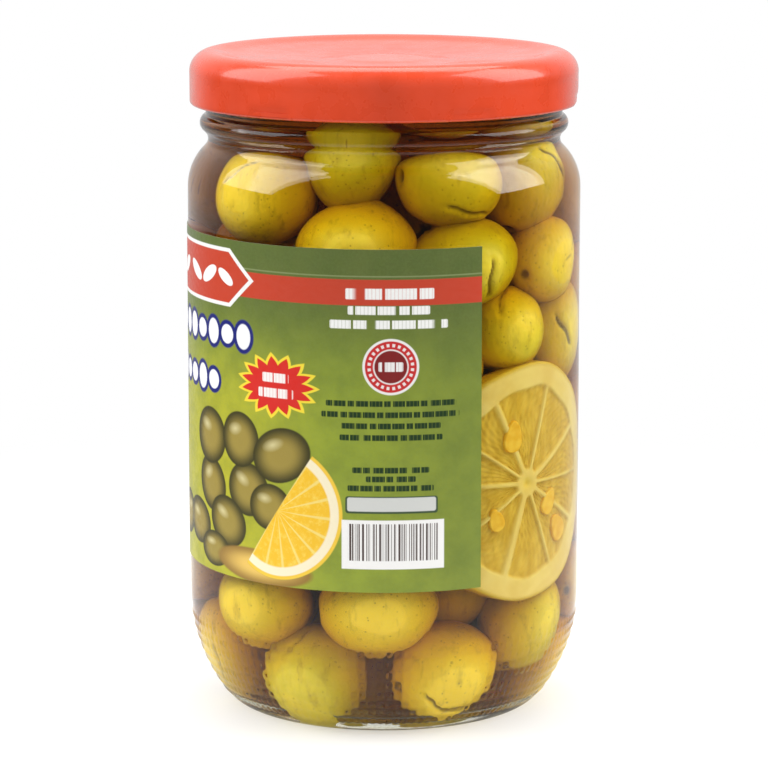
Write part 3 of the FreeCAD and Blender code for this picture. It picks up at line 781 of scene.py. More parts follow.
def printed_paper(look, size):
    """Coated paper with a generic print: a shaded green field, a red stripe and badge, rows of plain
    marks, a seal, a burst, a group of olives with a lemon wedge, and a panel of bars."""
    material, tree, body = opaque_material(
        "label_paper", 0.42, Coat_Weight=0.25, Coat_Roughness=0.25, Specular_IOR_Level=0.4
    )
    box, disc, burst, dashes = label_groups()
    uv = add(tree, "ShaderNodeUVMap", uv_map="UVMap").outputs[0]
    paper = vector_node(tree, "MULTIPLY", uv, (size[0], size[1], 0))
    paper = vector_node(tree, "SUBTRACT", paper, (size[0] / 2, -size[2], 0))
    parts = split_vector(tree, paper)
    across, up = parts[0], parts[1]
    across = math_node(tree, "ABSOLUTE", across)
    both = tree.nodes.new("ShaderNodeCombineXYZ")
    join(tree, across, both.inputs[0])
    join(tree, up, both.inputs[1])
    spot = both.outputs[0]

    def boxed(centre, half, corner=0.4):
        node = put_group(tree, box, Place=spot, Centre=(*centre, 0), Half=(*half, 0), Corner=corner)
        return node.outputs["Mask"]

    def round_spot(centre, half, turn=0.0, soft=0.04):
        return put_group(tree, disc, Place=spot, Centre=(*centre, 0), Half=(*half, 1), Turn=turn, Soft=soft)

    def row_of_marks(centre, half, word, seed):
        node = put_group(tree, dashes, Place=spot, Centre=(*centre, 0), Half=(*half, 1), Word=word, Seed=seed)
        return node.outputs["Mask"]

    # field: dark above and at the side, lime at the lower left, mottled
    right_dark = spread(tree, across, 50, 79)
    upper_dark = spread(tree, up, 74, 100)
    field = mix_colour(tree, spread(tree, up, 58, 100, 1.0, 0.0), tuple(look.green), tuple(look.lime))
    lime_side = times(tree, spread(tree, across, 16, 50), 0.9)
    field = mix_colour(tree, lime_side, field, tuple(look.green))
    field = mix_colour(tree, times(tree, upper_dark, 0.92), field, tuple(look.dark_green))
    field = mix_colour(tree, times(tree, right_dark, 0.45), field, tuple(look.dark_green))
    mottle = spread(tree, noise(tree, spot, 0.16, 5, 0.6), 0.3, 0.75, 0.0, 0.3)
    field = mix_colour(tree, mottle, field, (0.06, 0.11, 0.02))
    fibre = spread(tree, noise(tree, spot, 1.6, 3, 0.6), 0.3, 0.7, 0.0, 0.12)
    painted = mix_colour(tree, fibre, field, (0.2, 0.33, 0.08))

    def paint(mask, coat):
        """Lays a colour over what is painted so far, where the mask is 1."""
        nonlocal painted
        painted = mix_colour(tree, mask, painted, coat)

    # printed olives, dark gold with a light side and a rim of shade
    olives = (
        ((5.0, 43.5), (6.5, 5.2), 0.2), ((12.0, 53.0), (5.6, 6.4), -0.5), ((11.5, 63.5), (6.4, 6.4), 0.3),
        ((24.8, 53.6), (6.2, 6.0), 0.5), ((22.5, 64.2), (5.8, 6.2), -0.2), ((33.8, 62.0), (7.6, 6.0), -0.35),
        ((18.0, 45.5), (6.6, 5.6), 0.4), ((31.0, 50.5), (5.6, 5.2), 0.1), ((13.0, 38.6), (6.0, 4.0), 0.0),
    )
    for centre, half, turn in olives:
        whole = round_spot(centre, half, turn, 0.05)
        shade = spread(tree, whole.outputs["Reach"], 0.35, 1.0)
        flesh = mix_colour(tree, shade, (0.36, 0.27, 0.05), (0.05, 0.045, 0.01))
        glint_centre = (centre[0] - half[0] * 0.25, centre[1] + half[1] * 0.35)
        glint = round_spot(glint_centre, (half[0] * 0.4, half[1] * 0.25), turn, 0.9)
        flesh = mix_colour(tree, times(tree, glint.outputs["Mask"], 0.7), flesh, (0.75, 0.68, 0.36))
        paint(whole.outputs["Mask"], flesh)

    # printed lemon wedge: half a disc with rind, pith and rayed pulp
    wedge = round_spot((33.0, 50.0), (15.2, 15.2), 0.0, 0.015)
    rotate = add(tree, "ShaderNodeVectorRotate", rotation_type="Z_AXIS", Angle=-0.98)
    join(tree, vector_node(tree, "SUBTRACT", spot, (33.0, 50.0, 0.0)), rotate.inputs["Vector"])
    turned_parts = split_vector(tree, rotate.outputs[0])
    half_plane = spread(tree, turned_parts[1], -0.15, 0.15, 1.0, 0.0)
    wedge_mask = times(tree, wedge.outputs["Mask"], half_plane)
    angle = math_node(tree, "ARCTAN2", turned_parts[1], turned_parts[0])
    rays = spread(tree, math_node(tree, "PINGPONG", times(tree, angle, 9 / math.pi), 0.5), 0.03, 0.12)
    pulp = mix_colour(tree, rays, (0.93, 0.72, 0.2), (0.93, 0.55, 0.02))
    streak = noise(tree, vector_node(tree, "MULTIPLY", rotate.outputs[0], (0.5, 0.5, 1)), 1.4, 4, 0.7)
    pulp = mix_colour(tree, spread(tree, streak, 0.45, 0.75, 0.0, 0.6), pulp, (1.0, 0.78, 0.16))
    reach = wedge.outputs["Reach"]
    pulp = mix_colour(tree, spread(tree, reach, 0.80, 0.83), pulp, (0.96, 0.86, 0.6))
    pulp = mix_colour(tree, spread(tree, reach, 0.93, 0.95), pulp, (0.92, 0.6, 0.05))
    paint(wedge_mask, pulp)
    foot_fruit = round_spot((28.0, 37.0), (14.0, 4.0), 0.05, 0.1)
    shade = spread(tree, foot_fruit.outputs["Reach"], 0.2, 1.0)
    fruit_mask = times(tree, foot_fruit.outputs["Mask"], minus(tree, 1.0, wedge_mask))
    paint(fruit_mask, mix_colour(tree, shade, (0.85, 0.56, 0.12), (0.3, 0.17, 0.03)))

    # red stripe with a fine pale line over it, and the badge with its white edge
    paint(boxed((0, 101.4), (90, 0.14), 0.05), (0.25, 0.3, 0.12))
    paint(boxed((0, 98.0), (90, 2.75), 0.05), tuple(look.red))
    slant = plus(tree, across, times(tree, math_node(
        tree, "ABSOLUTE", minus(tree, up, 98.9)), 1.15))
    badge_side = spread(tree, slant, 26.8, 27.1, 1.0, 0.0)
    badge = times(tree, badge_side, boxed((0, 98.9), (40, 6.3), 0.2))
    paint(badge, (0.9, 0.9, 0.88))
    inner_side = spread(tree, slant, 25.4, 25.7, 1.0, 0.0)
    inner = times(tree, inner_side, boxed((0, 98.9), (40, 5.5), 0.2))
    paint(inner, tuple(look.red))
    for place_across, half, turn in ((4.5, (3.6, 1.5), 0.5), (11.5, (3.6, 1.5), -0.5), (18.0, (3.0, 1.3), 0.5)):
        leaf = round_spot((place_across, 98.9), half, turn, 0.08)
        paint(leaf.outputs["Mask"], (0.92, 0.92, 0.9))

    # two garlands of white beads with a navy edge
    for row, (height, beads) in enumerate(((86.6, 5), (76.0, 3))):
        for index in range(beads):
            centre = (2.6 + index * 5.3, height)
            edge = round_spot(centre, (3.2, 3.9 - 0.7 * ((index + row) % 2)), 0.0, 0.1)
            paint(edge.outputs["Mask"], (0.012, 0.018, 0.2))
        for index in range(beads):
            centre = (2.6 + index * 5.3, height)
            bead = round_spot(centre, (2.2, 2.9 - 0.7 * ((index + row) % 2)), 0.0, 0.1)
            paint(bead.outputs["Mask"], (0.92, 0.93, 0.95))

    # burst
    star = put_group(
        tree, burst, Place=spot, Centre=(32.6, 77.0, 0), Half=(10.6, 7.2, 1), Points=15.0, Depth=0.26
    )
    edge = spread(tree, star.outputs["Reach"], 0.98, 1.02, 1.0, 0.0)
    fill = spread(tree, star.outputs["Reach"], 0.86, 0.9, 1.0, 0.0)
    paint(edge, (0.92, 0.72, 0.04))
    paint(fill, (0.72, 0.02, 0.012))
    for height, half in ((78.7, 3.3), (75.4, 4.4)):
        paint(row_of_marks((32.6, height), (half, 1.0), 3.1, height), (0.95, 0.9, 0.86))

    # rows of plain marks, white above and dark below
    white_rows = (
        ((58.2, 97.7), (9.4, 1.15), 6.2),
        ((58.0, 94.2), (8.7, 0.9), 4.0),
        ((58.0, 91.2), (12.6, 0.9), 4.6),
    )
    for centre, half, word in white_rows:
        paint(row_of_marks(centre, half, word, centre[1]), (0.95, 0.95, 0.92))
    small = (((58.5, 74.3), 14.0), ((58.4, 71.9), 14.9), ((58.4, 69.5), 10.7), ((58.5, 67.0), 11.0),
             ((58.4, 60.0), 8.2), ((58.4, 58.1), 5.3), ((58.4, 56.1), 9.2))
    for centre, half in small:
        paint(row_of_marks(centre, (half, 0.62), 2.6, centre[1]), (0.016, 0.05, 0.012))

    # seal: white edge, red ring with dots, dark middle
    seal = round_spot((58.4, 82.2), (6.1, 6.1), 0.0, 0.03)
    reach = seal.outputs["Reach"]
    paint(seal.outputs["Mask"], (0.9, 0.88, 0.86))
    paint(spread(tree, reach, 0.88, 0.92, 1.0, 0.0), (0.62, 0.02, 0.02))
    paint(spread(tree, reach, 0.60, 0.64, 1.0, 0.0), (0.85, 0.8, 0.78))
    paint(spread(tree, reach, 0.55, 0.59, 1.0, 0.0), (0.25, 0.012, 0.012))
    paint(row_of_marks((58.4, 82.2), (2.6, 1.0), 2.4, 0.2), (0.9, 0.88, 0.86))
    spokes = vector_node(tree, "SUBTRACT", spot, (58.4, 82.2, 0.0))
    spoke_parts = split_vector(tree, spokes)
    spoke = math_node(tree, "ARCTAN2", spoke_parts[1], spoke_parts[0])
    dots = spread(tree, math_node(tree, "PINGPONG", times(tree, spoke, 24 / (2 * math.pi)), 0.5), 0.2, 0.3)
    band = times(tree, spread(tree, reach, 0.68, 0.72), spread(tree, reach, 0.79, 0.83, 1.0, 0.0))
    paint(times(tree, dots, band), (0.9, 0.8, 0.78))

    # plain pill and the panel of bars
    paint(boxed((58.6, 52.5), (9.9, 1.85), 0.6), (0.05, 0.09, 0.04))
    paint(boxed((58.6, 52.6), (9.5, 1.5), 0.5), (0.66, 0.67, 0.64))
    paint(boxed((58.9, 43.9), (11.0, 5.3), 0.05), (0.93, 0.92, 0.9))
    bars = noise(tree, vector_node(tree, "MULTIPLY", spot, (1, 0, 0)), 2.2, 1.0, 0.6)
    bar_mask = times(tree, spread(tree, bars, 0.49, 0.52), boxed((58.9, 44.4), (9.6, 4.0), 0.02))
    paint(bar_mask, (0.09, 0.06, 0.055))

    # bare paper shows on the cut edges and the back
    front = attribute(tree, "front")
    painted = mix_colour(tree, front, (0.72, 0.7, 0.6), painted)
    join(tree, painted, body.inputs["Base Color"])
    grain = noise(tree, object_place(tree), 900, 4)
    join(tree, bump(tree, grain, 0.00004, 0.5), body.inputs["Normal"])
    join(tree, spread(tree, grain, 0.3, 0.7, 0.36, 0.5), body.inputs["Roughness"])
    return material


class OLIVEJAR_OT_label(bpy.types.Operator):
    """Make the paper label: a thin band bent round the glass, with faint upright ripples and its print"""

    bl_idname = "olive_jar.label"
    bl_label = "Label"

    def execute(self, context):
        look = context.scene.jar_label
        outer = -LABEL_LOW.y
        inner = outer - look.thickness
        stations = 360
        low, high = LABEL_LOW.z, LABEL_HIGH.z
        share = np.linspace(0, 1, stations)
        angle = -math.pi / 2 + (share - 0.5) * look.sweep
        rise = np.linspace(0, 1, 25)
        ring_up = np.concatenate([rise, rise[::-1]])
        ring_front = np.concatenate([np.ones(25), np.zeros(25)])
        ripple = 0.035 * MM * (1 + np.sin(angle * 23) * np.sin(angle * 7 + 1)) / 2
        across = np.where(ring_front > 0, outer, inner)[None, :] - ripple[:, None] * ring_front[None, :]
        height = low + (high - low) * ring_up[None, :] + 0 * angle[:, None]
        rings = np.stack([across * np.cos(angle)[:, None], across * np.sin(angle)[:, None], height], -1)
        ends = [rings[[0]].mean(1), rings[[-1]].mean(1)]
        flat = np.stack([share[:, None] + 0 * height, ring_up[None, :] + 0 * height], -1).reshape(-1, 2)
        flat = np.concatenate([flat, [[0, 0.5], [1, 0.5]]])
        front = np.concatenate([(ring_front[None, :] + 0 * height).ravel(), [0, 0]])
        piece = make_piece("label_visual", rings[None], *ends, values={"front": front}, uv=flat)
        width = look.sweep * outer / MM
        size = (width, (high - low) / MM, low / MM)
        place(piece, printed_paper(look, size), "label")
        return {"FINISHED"}


# ---------------------------------------------------------------- brine


class OLIVEJAR_OT_brine(bpy.types.Operator):
    """Make the brine: it fills the glass to its level, reaches just into the wall and climbs the bore"""

    bl_idname = "olive_jar.brine"
    bl_label = "Brine"

    def execute(self, context):
        glass, fill = context.scene.jar_glass, context.scene.jar_fill
        outline = cavity_outline(glass, fill.overlap)
        level = FILL_HIGH.z
        outline = outline[outline[:, 1] < level - 2.1 * MM]
        bore = outline[-1, 0]
        climb = np.linspace(1, 0, 8)
        edge = np.stack([bore - (1 - climb) ** 1.5 * 2.5 * MM, level - 1.5 * MM * (1 - climb) ** 0.6], 1)
        side = straight(outline[-1], (bore, level), 1 * MM)
        surface = straight(edge[-1], (1.5 * MM, level - 1.5 * MM), 6 * MM)
        profile = chain(outline, side, edge, surface)
        rings = turned(profile, 180)
        foot = np.array([[0, 0, profile[0, 1] + 0.01 * MM]])
        crown = np.array([[0, 0, level - 1.5 * MM]])
        piece = make_piece("brine_visual", rings[None], foot, crown, sharp=0)
        brine = clear_material("brine", (1.0, 0.99, 0.96), 1.33, ((0.928, 0.868, 0.0), 400.0))
        place(piece, brine, "olives_in_brine")
        return {"FINISHED"}


# ---------------------------------------------------------------- olives


# The olives that show through the bare glass: turn round the jar in degrees, height, length and width
# in millimetres, lean of the long axis from level in degrees, and where the first split lies.
SHOWN_OLIVES = (
    (-62, 116.0, 23.0, 20.0, 8, -0.9, 0.5),
    (-27, 125.0, 21.5, 19.0, 80, 1.2, 0.6),
    (-24, 110.5, 24.0, 20.5, 10, 1.5, 0.2),
    (11, 118.5, 22.0, 17.5, -6, 0.9, -0.3),
    (50, 113.0, 24.0, 20.5, 60, 0.3, 1.3),
    (16, 101.5, 24.0, 20.0, 12, 0.5, 1.4),
    (44, 91.0, 24.5, 21.0, 70, 0.2, 0.1),
    (14, 83.0, 22.0, 19.0, 20, 0.4, 1.0),
    (-66, 26.5, 22.5, 19.0, 5, 1.3, 0.2),
    (-19, 28.5, 24.0, 20.0, 5, -1.4, 0.1),
    (43, 22.5, 21.5, 19.0, 60, 1.2, 0.8),
    (-43, 14.5, 22.0, 20.5, 40, -1.2, 0.7),
    (11, 14.5, 22.0, 20.0, 15, 1.3, -0.6),
    (-86, 16.5, 21.5, 18.5, 70, 1.0, 0.4),
)


SPLIT_KEYS = ("middle", "cross", "way", "span", "bend", "deep")
SPLIT_CHANCE = (0.85, 0.35)


def wall_gap(radius, height, outline):
    """How far inside the outline each point is, and the way inwards from its nearest place on it."""
    point = np.stack([radius, height], -1)[:, None, :]
    start, step = outline[None, :-1], np.diff(outline, axis=0)[None]
    share = np.clip(((point - start) * step).sum(-1) / (step**2).sum(-1), 0, 1)
    offset = point - (start + step * share[..., None])
    gap = np.linalg.norm(offset, axis=-1)
    best = gap.argmin(1)
    rows = np.arange(len(best))
    side = np.stack([-step[0, best, 1], step[0, best, 0]], 1)
    side /= np.linalg.norm(side, axis=1)[:, None]
    return (offset[rows, best] * side).sum(1), side


def settle(fill, outline, lemon_balls, rounds=420):
    """Places for all olives, found by pushing apart.

    Each olive is three balls on its long axis. In every round each ball is pushed away from the balls
    of other olives, from the lemon and from the glass, and the olive then moves and turns to where its
    balls were pushed. The olives that show stay near their own places."""
    draw = np.random.default_rng(fill.seed)
    shown = np.array(SHOWN_OLIVES, float)
    count, pinned = fill.count, len(shown)
    long = fill.olive_length / MM * draw.uniform(0.92, 1.08, count)
    wide = fill.olive_width / MM * draw.uniform(0.93, 1.06, count)
    long[:pinned], wide[:pinned] = shown[:, 2], shown[:, 3]
    turn = draw.uniform(-math.pi, math.pi, count)
    radius = 31 * np.sqrt(draw.uniform(0.02, 1, count))
    height = draw.uniform(15, 124, count)
    turn[:pinned], radius[:pinned], height[:pinned] = np.radians(shown[:, 0]), 30.5, shown[:, 1]
    centre = np.stack([radius * np.cos(turn), radius * np.sin(turn), height], 1)
    axis = draw.normal(size=(count, 3))
    lean, around = np.radians(shown[:, 4]), turn[:pinned]
    level = np.stack([-np.sin(around), np.cos(around), 0 * around], 1)
    axis[:pinned] = np.cos(lean)[:, None] * level + np.sin(lean)[:, None] * [0, 0, 1]
    axis /= np.linalg.norm(axis, axis=1)[:, None]
    anchor, held_axis = centre[:pinned].copy(), axis[:pinned].copy()
    olive = np.repeat(np.arange(count), 3)
    same = olive[:, None] == olive[None, :]
    for index in range(rounds):
        grown = 0.72 + 0.28 * min(1.0, index / (rounds * 0.6))
        end_ball = 0.80 * wide / 2
        reach = long / 2 - end_ball
        ball = np.stack([end_ball, wide / 2, end_ball], 1).ravel() * grown
        steps = np.array([-1, 0, 1])[None, :, None] * (reach * grown)[:, None, None]
        spots = (centre[:, None, :] + steps * axis[:, None, :]).reshape(-1, 3)
        between = spots[:, None, :] - spots[None, :, :]
        gap = np.sqrt((between**2).sum(-1)) + 1e-6
        overlap = np.where(same, 0, np.clip(ball[:, None] + ball[None, :] - gap, 0, None))
        push = (between * (overlap / gap * 0.42)[..., None]).sum(1)
        from_lemon = spots[:, None, :] - lemon_balls[None, :, :]
        gap = np.sqrt((from_lemon**2).sum(-1)) + 1e-6
        overlap = np.clip(ball[:, None] + 2.4 - gap, 0, None)
        most = overlap.argmax(1)
        rows = np.arange(len(most))
        push += from_lemon[rows, most] * (overlap[rows, most] / gap[rows, most])[:, None]
        push[:, 2] -= 0.05
        across = np.hypot(spots[:, 0], spots[:, 1]) + 1e-6
        inside, side = wall_gap(across, spots[:, 2], outline)
        deep = np.clip(ball - inside, 0, 6)
        push[:, 0] += deep * side[:, 0] * spots[:, 0] / across
        push[:, 1] += deep * side[:, 0] * spots[:, 1] / across
        push[:, 2] += deep * side[:, 1]
        push = np.clip(push, -3, 3)
        wanted = (spots + push).reshape(count, 3, 3)
        centre = wanted.mean(1)
        axis = wanted[:, 2] - wanted[:, 0] + axis * 0.5
        axis /= np.linalg.norm(axis, axis=1)[:, None]
        centre[:pinned] = anchor + (centre[:pinned] - anchor) * 0.9
        outward = centre[:pinned, :2] / np.linalg.norm(centre[:pinned, :2], axis=1)[:, None]
        centre[:pinned, :2] += outward * 0.12
        axis[:pinned] = held_axis
    return centre, axis, long, wide


def olive_points(across, along, centre, frame_axes, long, wide, shape):
    """Points of several olives on a grid of two angles.

    Along runs from tip to stem end and across runs round the long axis. The form is an ellipsoid with
    one end drawn out, a dimple at the stem, slow swellings, and splits: grooves along great circles
    whose far lip stands up a little."""
    cos_v, sin_v = np.cos(along), np.sin(along)
    egg = 1 + shape["egg"] * cos_v
    swell = 1 + sin_v * (
        0.030 * np.sin(2 * across + shape["phase"]) * np.cos(1.5 * along + shape["phase"] * 2)
        + 0.022 * np.sin(3 * across + shape["phase"] * 3) * np.sin(2.5 * along + shape["phase"])
        + 0.010 * np.sin(7 * across + shape["phase"] * 5) * np.sin(5 * along + shape["phase"] * 4)
    )
    stem = near(sin_v, 0, 0.16) * (cos_v < 0)
    tip = near(sin_v, 0, 0.35) * (cos_v > 0)
    direction = np.stack([cos_v + 0 * across, sin_v * np.cos(across), sin_v * np.sin(across)], -1)
    groove = np.zeros(direction.shape[:-1])
    lift = np.zeros(direction.shape[:-1])
    for split in range(2):
        middle, cross, way, span, bend, deep = (shape[key][split] for key in SPLIT_KEYS)
        run = np.arctan2((direction * way).sum(-1), (direction * middle).sum(-1))
        off = np.arcsin(np.clip((direction * cross).sum(-1), -1, 1)) - bend * run**2
        off = off + 0.03 * np.sin(run * 9 + shape["phase"])
        held = 1 - smooth(np.abs(run), span * 0.6, span)
        groove = np.maximum(groove, near(off, 0, 0.045) * held * deep)
        lift = lift + near(off, 0.13, 0.12) * held * deep * 0.45
    radial = wide / 2 * sin_v * egg * swell - 1.1 * groove * sin_v + 0.9 * lift * sin_v
    lengthwise = long / 2 * (cos_v * (1 - 0.14 * stem) + 0.05 * tip) - 1.1 * groove * cos_v
    local = np.stack([lengthwise + 0 * across, radial * np.cos(across), radial * np.sin(across)], -1)
    world = np.einsum("krcj,kji->krci", local, frame_axes) + centre[:, None, None, :]
    return world, groove, stem + 0 * groove


def olive_batch(name, chosen, settled, rows, columns, draw, material, split_turns=None):
    """One joined mesh of the chosen olives."""
    centre, axis, long, wide = (part[chosen] for part in settled)
    count = len(centre)
    outward = centre * [1, 1, 0]
    outward /= np.linalg.norm(outward, axis=1)[:, None] + 1e-9
    first = outward - axis * (outward * axis).sum(1)[:, None]
    first /= np.linalg.norm(first, axis=1)[:, None] + 1e-9
    axes = np.stack([axis, first, np.cross(axis, first)], 1)

    def column(values):
        return np.asarray(values, float)[:, None, None]

    spin = draw.uniform(0, 2 * math.pi, (2, count))
    place_along = draw.uniform(1.1, 2.0, (2, count))
    way_turn = draw.uniform(0, math.pi, (2, count))
    spin[0] = draw.uniform(-0.8, 0.8, count)
    if split_turns is not None:
        spin[0], way_turn[0] = split_turns[:, 0] * 0.7, split_turns[:, 1]
    shape = {key: [] for key in SPLIT_KEYS}
    for split in range(2):
        v, u = place_along[split], spin[split]
        middle = np.stack([np.cos(v), np.sin(v) * np.cos(u), np.sin(v) * np.sin(u)], 1)
        up = np.stack([-np.sin(v), np.cos(v) * np.cos(u), np.cos(v) * np.sin(u)], 1)
        beside = np.cross(middle, up)
        way = np.cos(way_turn[split])[:, None] * up + np.sin(way_turn[split])[:, None] * beside
        shape["middle"].append(middle[:, None, None, :])
        shape["way"].append(way[:, None, None, :])
        shape["cross"].append(np.cross(middle, way)[:, None, None, :])
        shape["span"].append(column(draw.uniform(0.5, 0.95, count)))
        shape["bend"].append(column(draw.uniform(-0.3, 0.3, count)))
        depth = draw.uniform(0.35, 1.0, count)
        shape["deep"].append(column(depth * (draw.uniform(0, 1, count) < SPLIT_CHANCE[split])))
    shape["phase"] = column(draw.uniform(0, 6.28, count))
    shape["egg"] = column(draw.uniform(-0.02, 0.07, count))
    across = np.linspace(0, 2 * math.pi, columns, endpoint=False)[None, None, :]
    along = np.linspace(0, math.pi, rows + 2)[None, :, None]
    parts = [olive_points(across, piece, centre, axes, column(long), column(wide), shape)
             for piece in (along[:, 1:-1], along[:, :1], along[:, -1:])]
    rings, tips, stems = (part[0] * MM for part in parts)
    tone = draw.uniform(0, 1, count)

    def spread_out(kind):
        ring = parts[0][kind].reshape(count, -1)
        return np.concatenate([ring, parts[1][kind][:, 0, :1], parts[2][kind][:, 0, :1]], 1)

    split_mask, stem_mask = spread_out(1), spread_out(2)
    values = {"split": split_mask, "stem": stem_mask, "tone": tone[:, None] + 0 * split_mask}
    piece = make_piece(name, rings, tips[:, 0, 0], stems[:, 0, 0], values=values, sharp=0)
    return place(piece, material, "olives_in_brine")


def olive_flesh(fill):
    """Cured olive skin: gold to moss green by olive and by patches, brown splits and stem, fine pores."""
    material, tree, body = opaque_material(
        "olive_flesh", 0.34, Specular_IOR_Level=0.1, Subsurface_Weight=0.12, Subsurface_Scale=0.003
    )
    body.inputs["Subsurface Radius"].default_value = (1.0, 0.7, 0.1)
    spot = object_place(tree)
    patches = noise(tree, spot, 75, 4, 0.55, 0.6)
    tone = attribute(tree, "tone")
    mixed = plus(tree, times(tree, tone, 0.55), times(tree, patches, 0.7))
    skin = mix_colour(tree, spread(tree, mixed, 0.5, 0.95), tuple(fill.golden), tuple(fill.mossy))
    bright = spread(tree, noise(tree, spot, 160, 3), 0.45, 0.8, 0.0, 0.35)
    skin = mix_colour(tree, bright, skin, (0.95, 0.74, 0.06))
    streaks = noise(tree, vector_node(tree, "MULTIPLY", spot, (1, 1, 0.35)), 420, 5, 0.65)
    skin = mix_colour(tree, spread(tree, streaks, 0.5, 0.76, 0.0, 0.55), skin, (0.38, 0.24, 0.02))
    specks = tree.nodes.new("ShaderNodeTexVoronoi")
    specks.inputs["Scale"].default_value = 700
    join(tree, spot, specks.inputs["Vector"])
    speck = spread(tree, specks.outputs["Distance"], 0.08, 0.2, 0.5, 0.0)
    skin = mix_colour(tree, speck, skin, (0.26, 0.15, 0.02))
    split = attribute(tree, "split")
    skin = mix_colour(tree, spread(tree, split, 0.15, 0.7, 0.0, 0.75), skin, (0.16, 0.085, 0.012))
    stem = spread(tree, attribute(tree, "stem"), 0.3, 0.9, 0.0, 0.8)
    skin = mix_colour(tree, stem, skin, (0.14, 0.08, 0.015))
    join(tree, skin, body.inputs["Base Color"])
    pores = plus(tree, times(tree, streaks, 0.7), specks.outputs["Distance"])
    join(tree, bump(tree, pores, 0.0002, 0.5), body.inputs["Normal"])
    join(tree, spread(tree, patches, 0.3, 0.7, 0.28, 0.42), body.inputs["Roughness"])
    return material


class OLIVEJAR_OT_olives(bpy.types.Operator):
    """Pack the jar with cracked olives: those at the bare glass in full detail, the others behind them"""

    bl_idname = "olive_jar.olives"
    bl_label = "Olives"

    def execute(self, context):
        glass, fill = context.scene.jar_glass, context.scene.jar_fill
        outline = cavity_outline(glass, 0) / MM
        outline = np.concatenate([[[-60, outline[0, 1]]], outline])
        level = FILL_HIGH.z / MM - 2.5
        outline = outline[outline[:, 1] < level]
        outline = np.concatenate([outline, [[outline[-1, 0], level], [-60, level]]])
        around = np.linspace(0, 2 * math.pi, 25)[None, :-1]
        slice_points = lemon_points(fill, np.linspace(0, 0.9, 6)[:, None], around, 0.5)
        settled = settle(fill, outline, slice_points.reshape(-1, 3) / MM)
        draw = np.random.default_rng(fill.seed + 1)
        material = olive_flesh(fill)
        shown = np.arange(fill.count) < len(SHOWN_OLIVES)
        centre = settled[0]
        turn = np.degrees(np.arctan2(centre[:, 1], centre[:, 0]))
        at_wall = ~shown & (np.hypot(centre[:, 0], centre[:, 1]) > 25)
        splits = np.array(SHOWN_OLIVES)[:, 5:7]
        olive_batch("olives_shown_visual", shown, settled, 66, 100, draw, material, splits)
        bare = (turn > -95) & (turn < 175)
        olive_batch("olives_at_bare_glass_visual", at_wall & bare, settled, 42, 64, draw, material)
        olive_batch("olives_behind_visual", ~shown & ~(at_wall & bare), settled, 22, 34, draw, material)
        return {"FINISHED"}


# ---------------------------------------------------------------- lemon


# The lemon's seeds: across and up from the slice's middle, length and width in millimetres, and lean.
SEEDS = (
    (-4.2, 10.7, 7.0, 4.0, 1.45),
    (7.4, -5.3, 6.2, 3.6, 1.0),
    (11.0, -11.7, 6.6, 4.2, 2.2),
    (-8.6, -7.0, 5.2, 3.2, 1.9),
)
LEMON_TURN = math.radians(33.0)


def lemon_points(fill, share, around, depth):
    """Points of the slice: share of its radius and angle on its face, and share of its thickness.

    The slice is cut square through a wall bent round the jar: the place across is r sin of the turn
    from its middle, so r is the wall's radius at that depth and the turn is the arc sine."""
    low, high = LEMON_LOW, LEMON_HIGH
    outer = 40.6 * MM
    radius = outer - depth * fill.lemon_thickness
    size = fill.lemon_width / 2 - 0.1 * MM
    ragged = 1 - 0.012 * (1 + np.sin(3 * around + 1)) * share - 0.006 * (1 + np.sin(8 * around)) * share
    across = share * size * ragged * np.cos(around)
    up = share * size * ragged * np.sin(around) + (low.z + high.z) / 2
    turn = LEMON_TURN + np.arcsin(np.clip(across / radius, -1, 1))
    return np.stack([radius * np.cos(turn), radius * np.sin(turn), up + 0 * turn], -1)


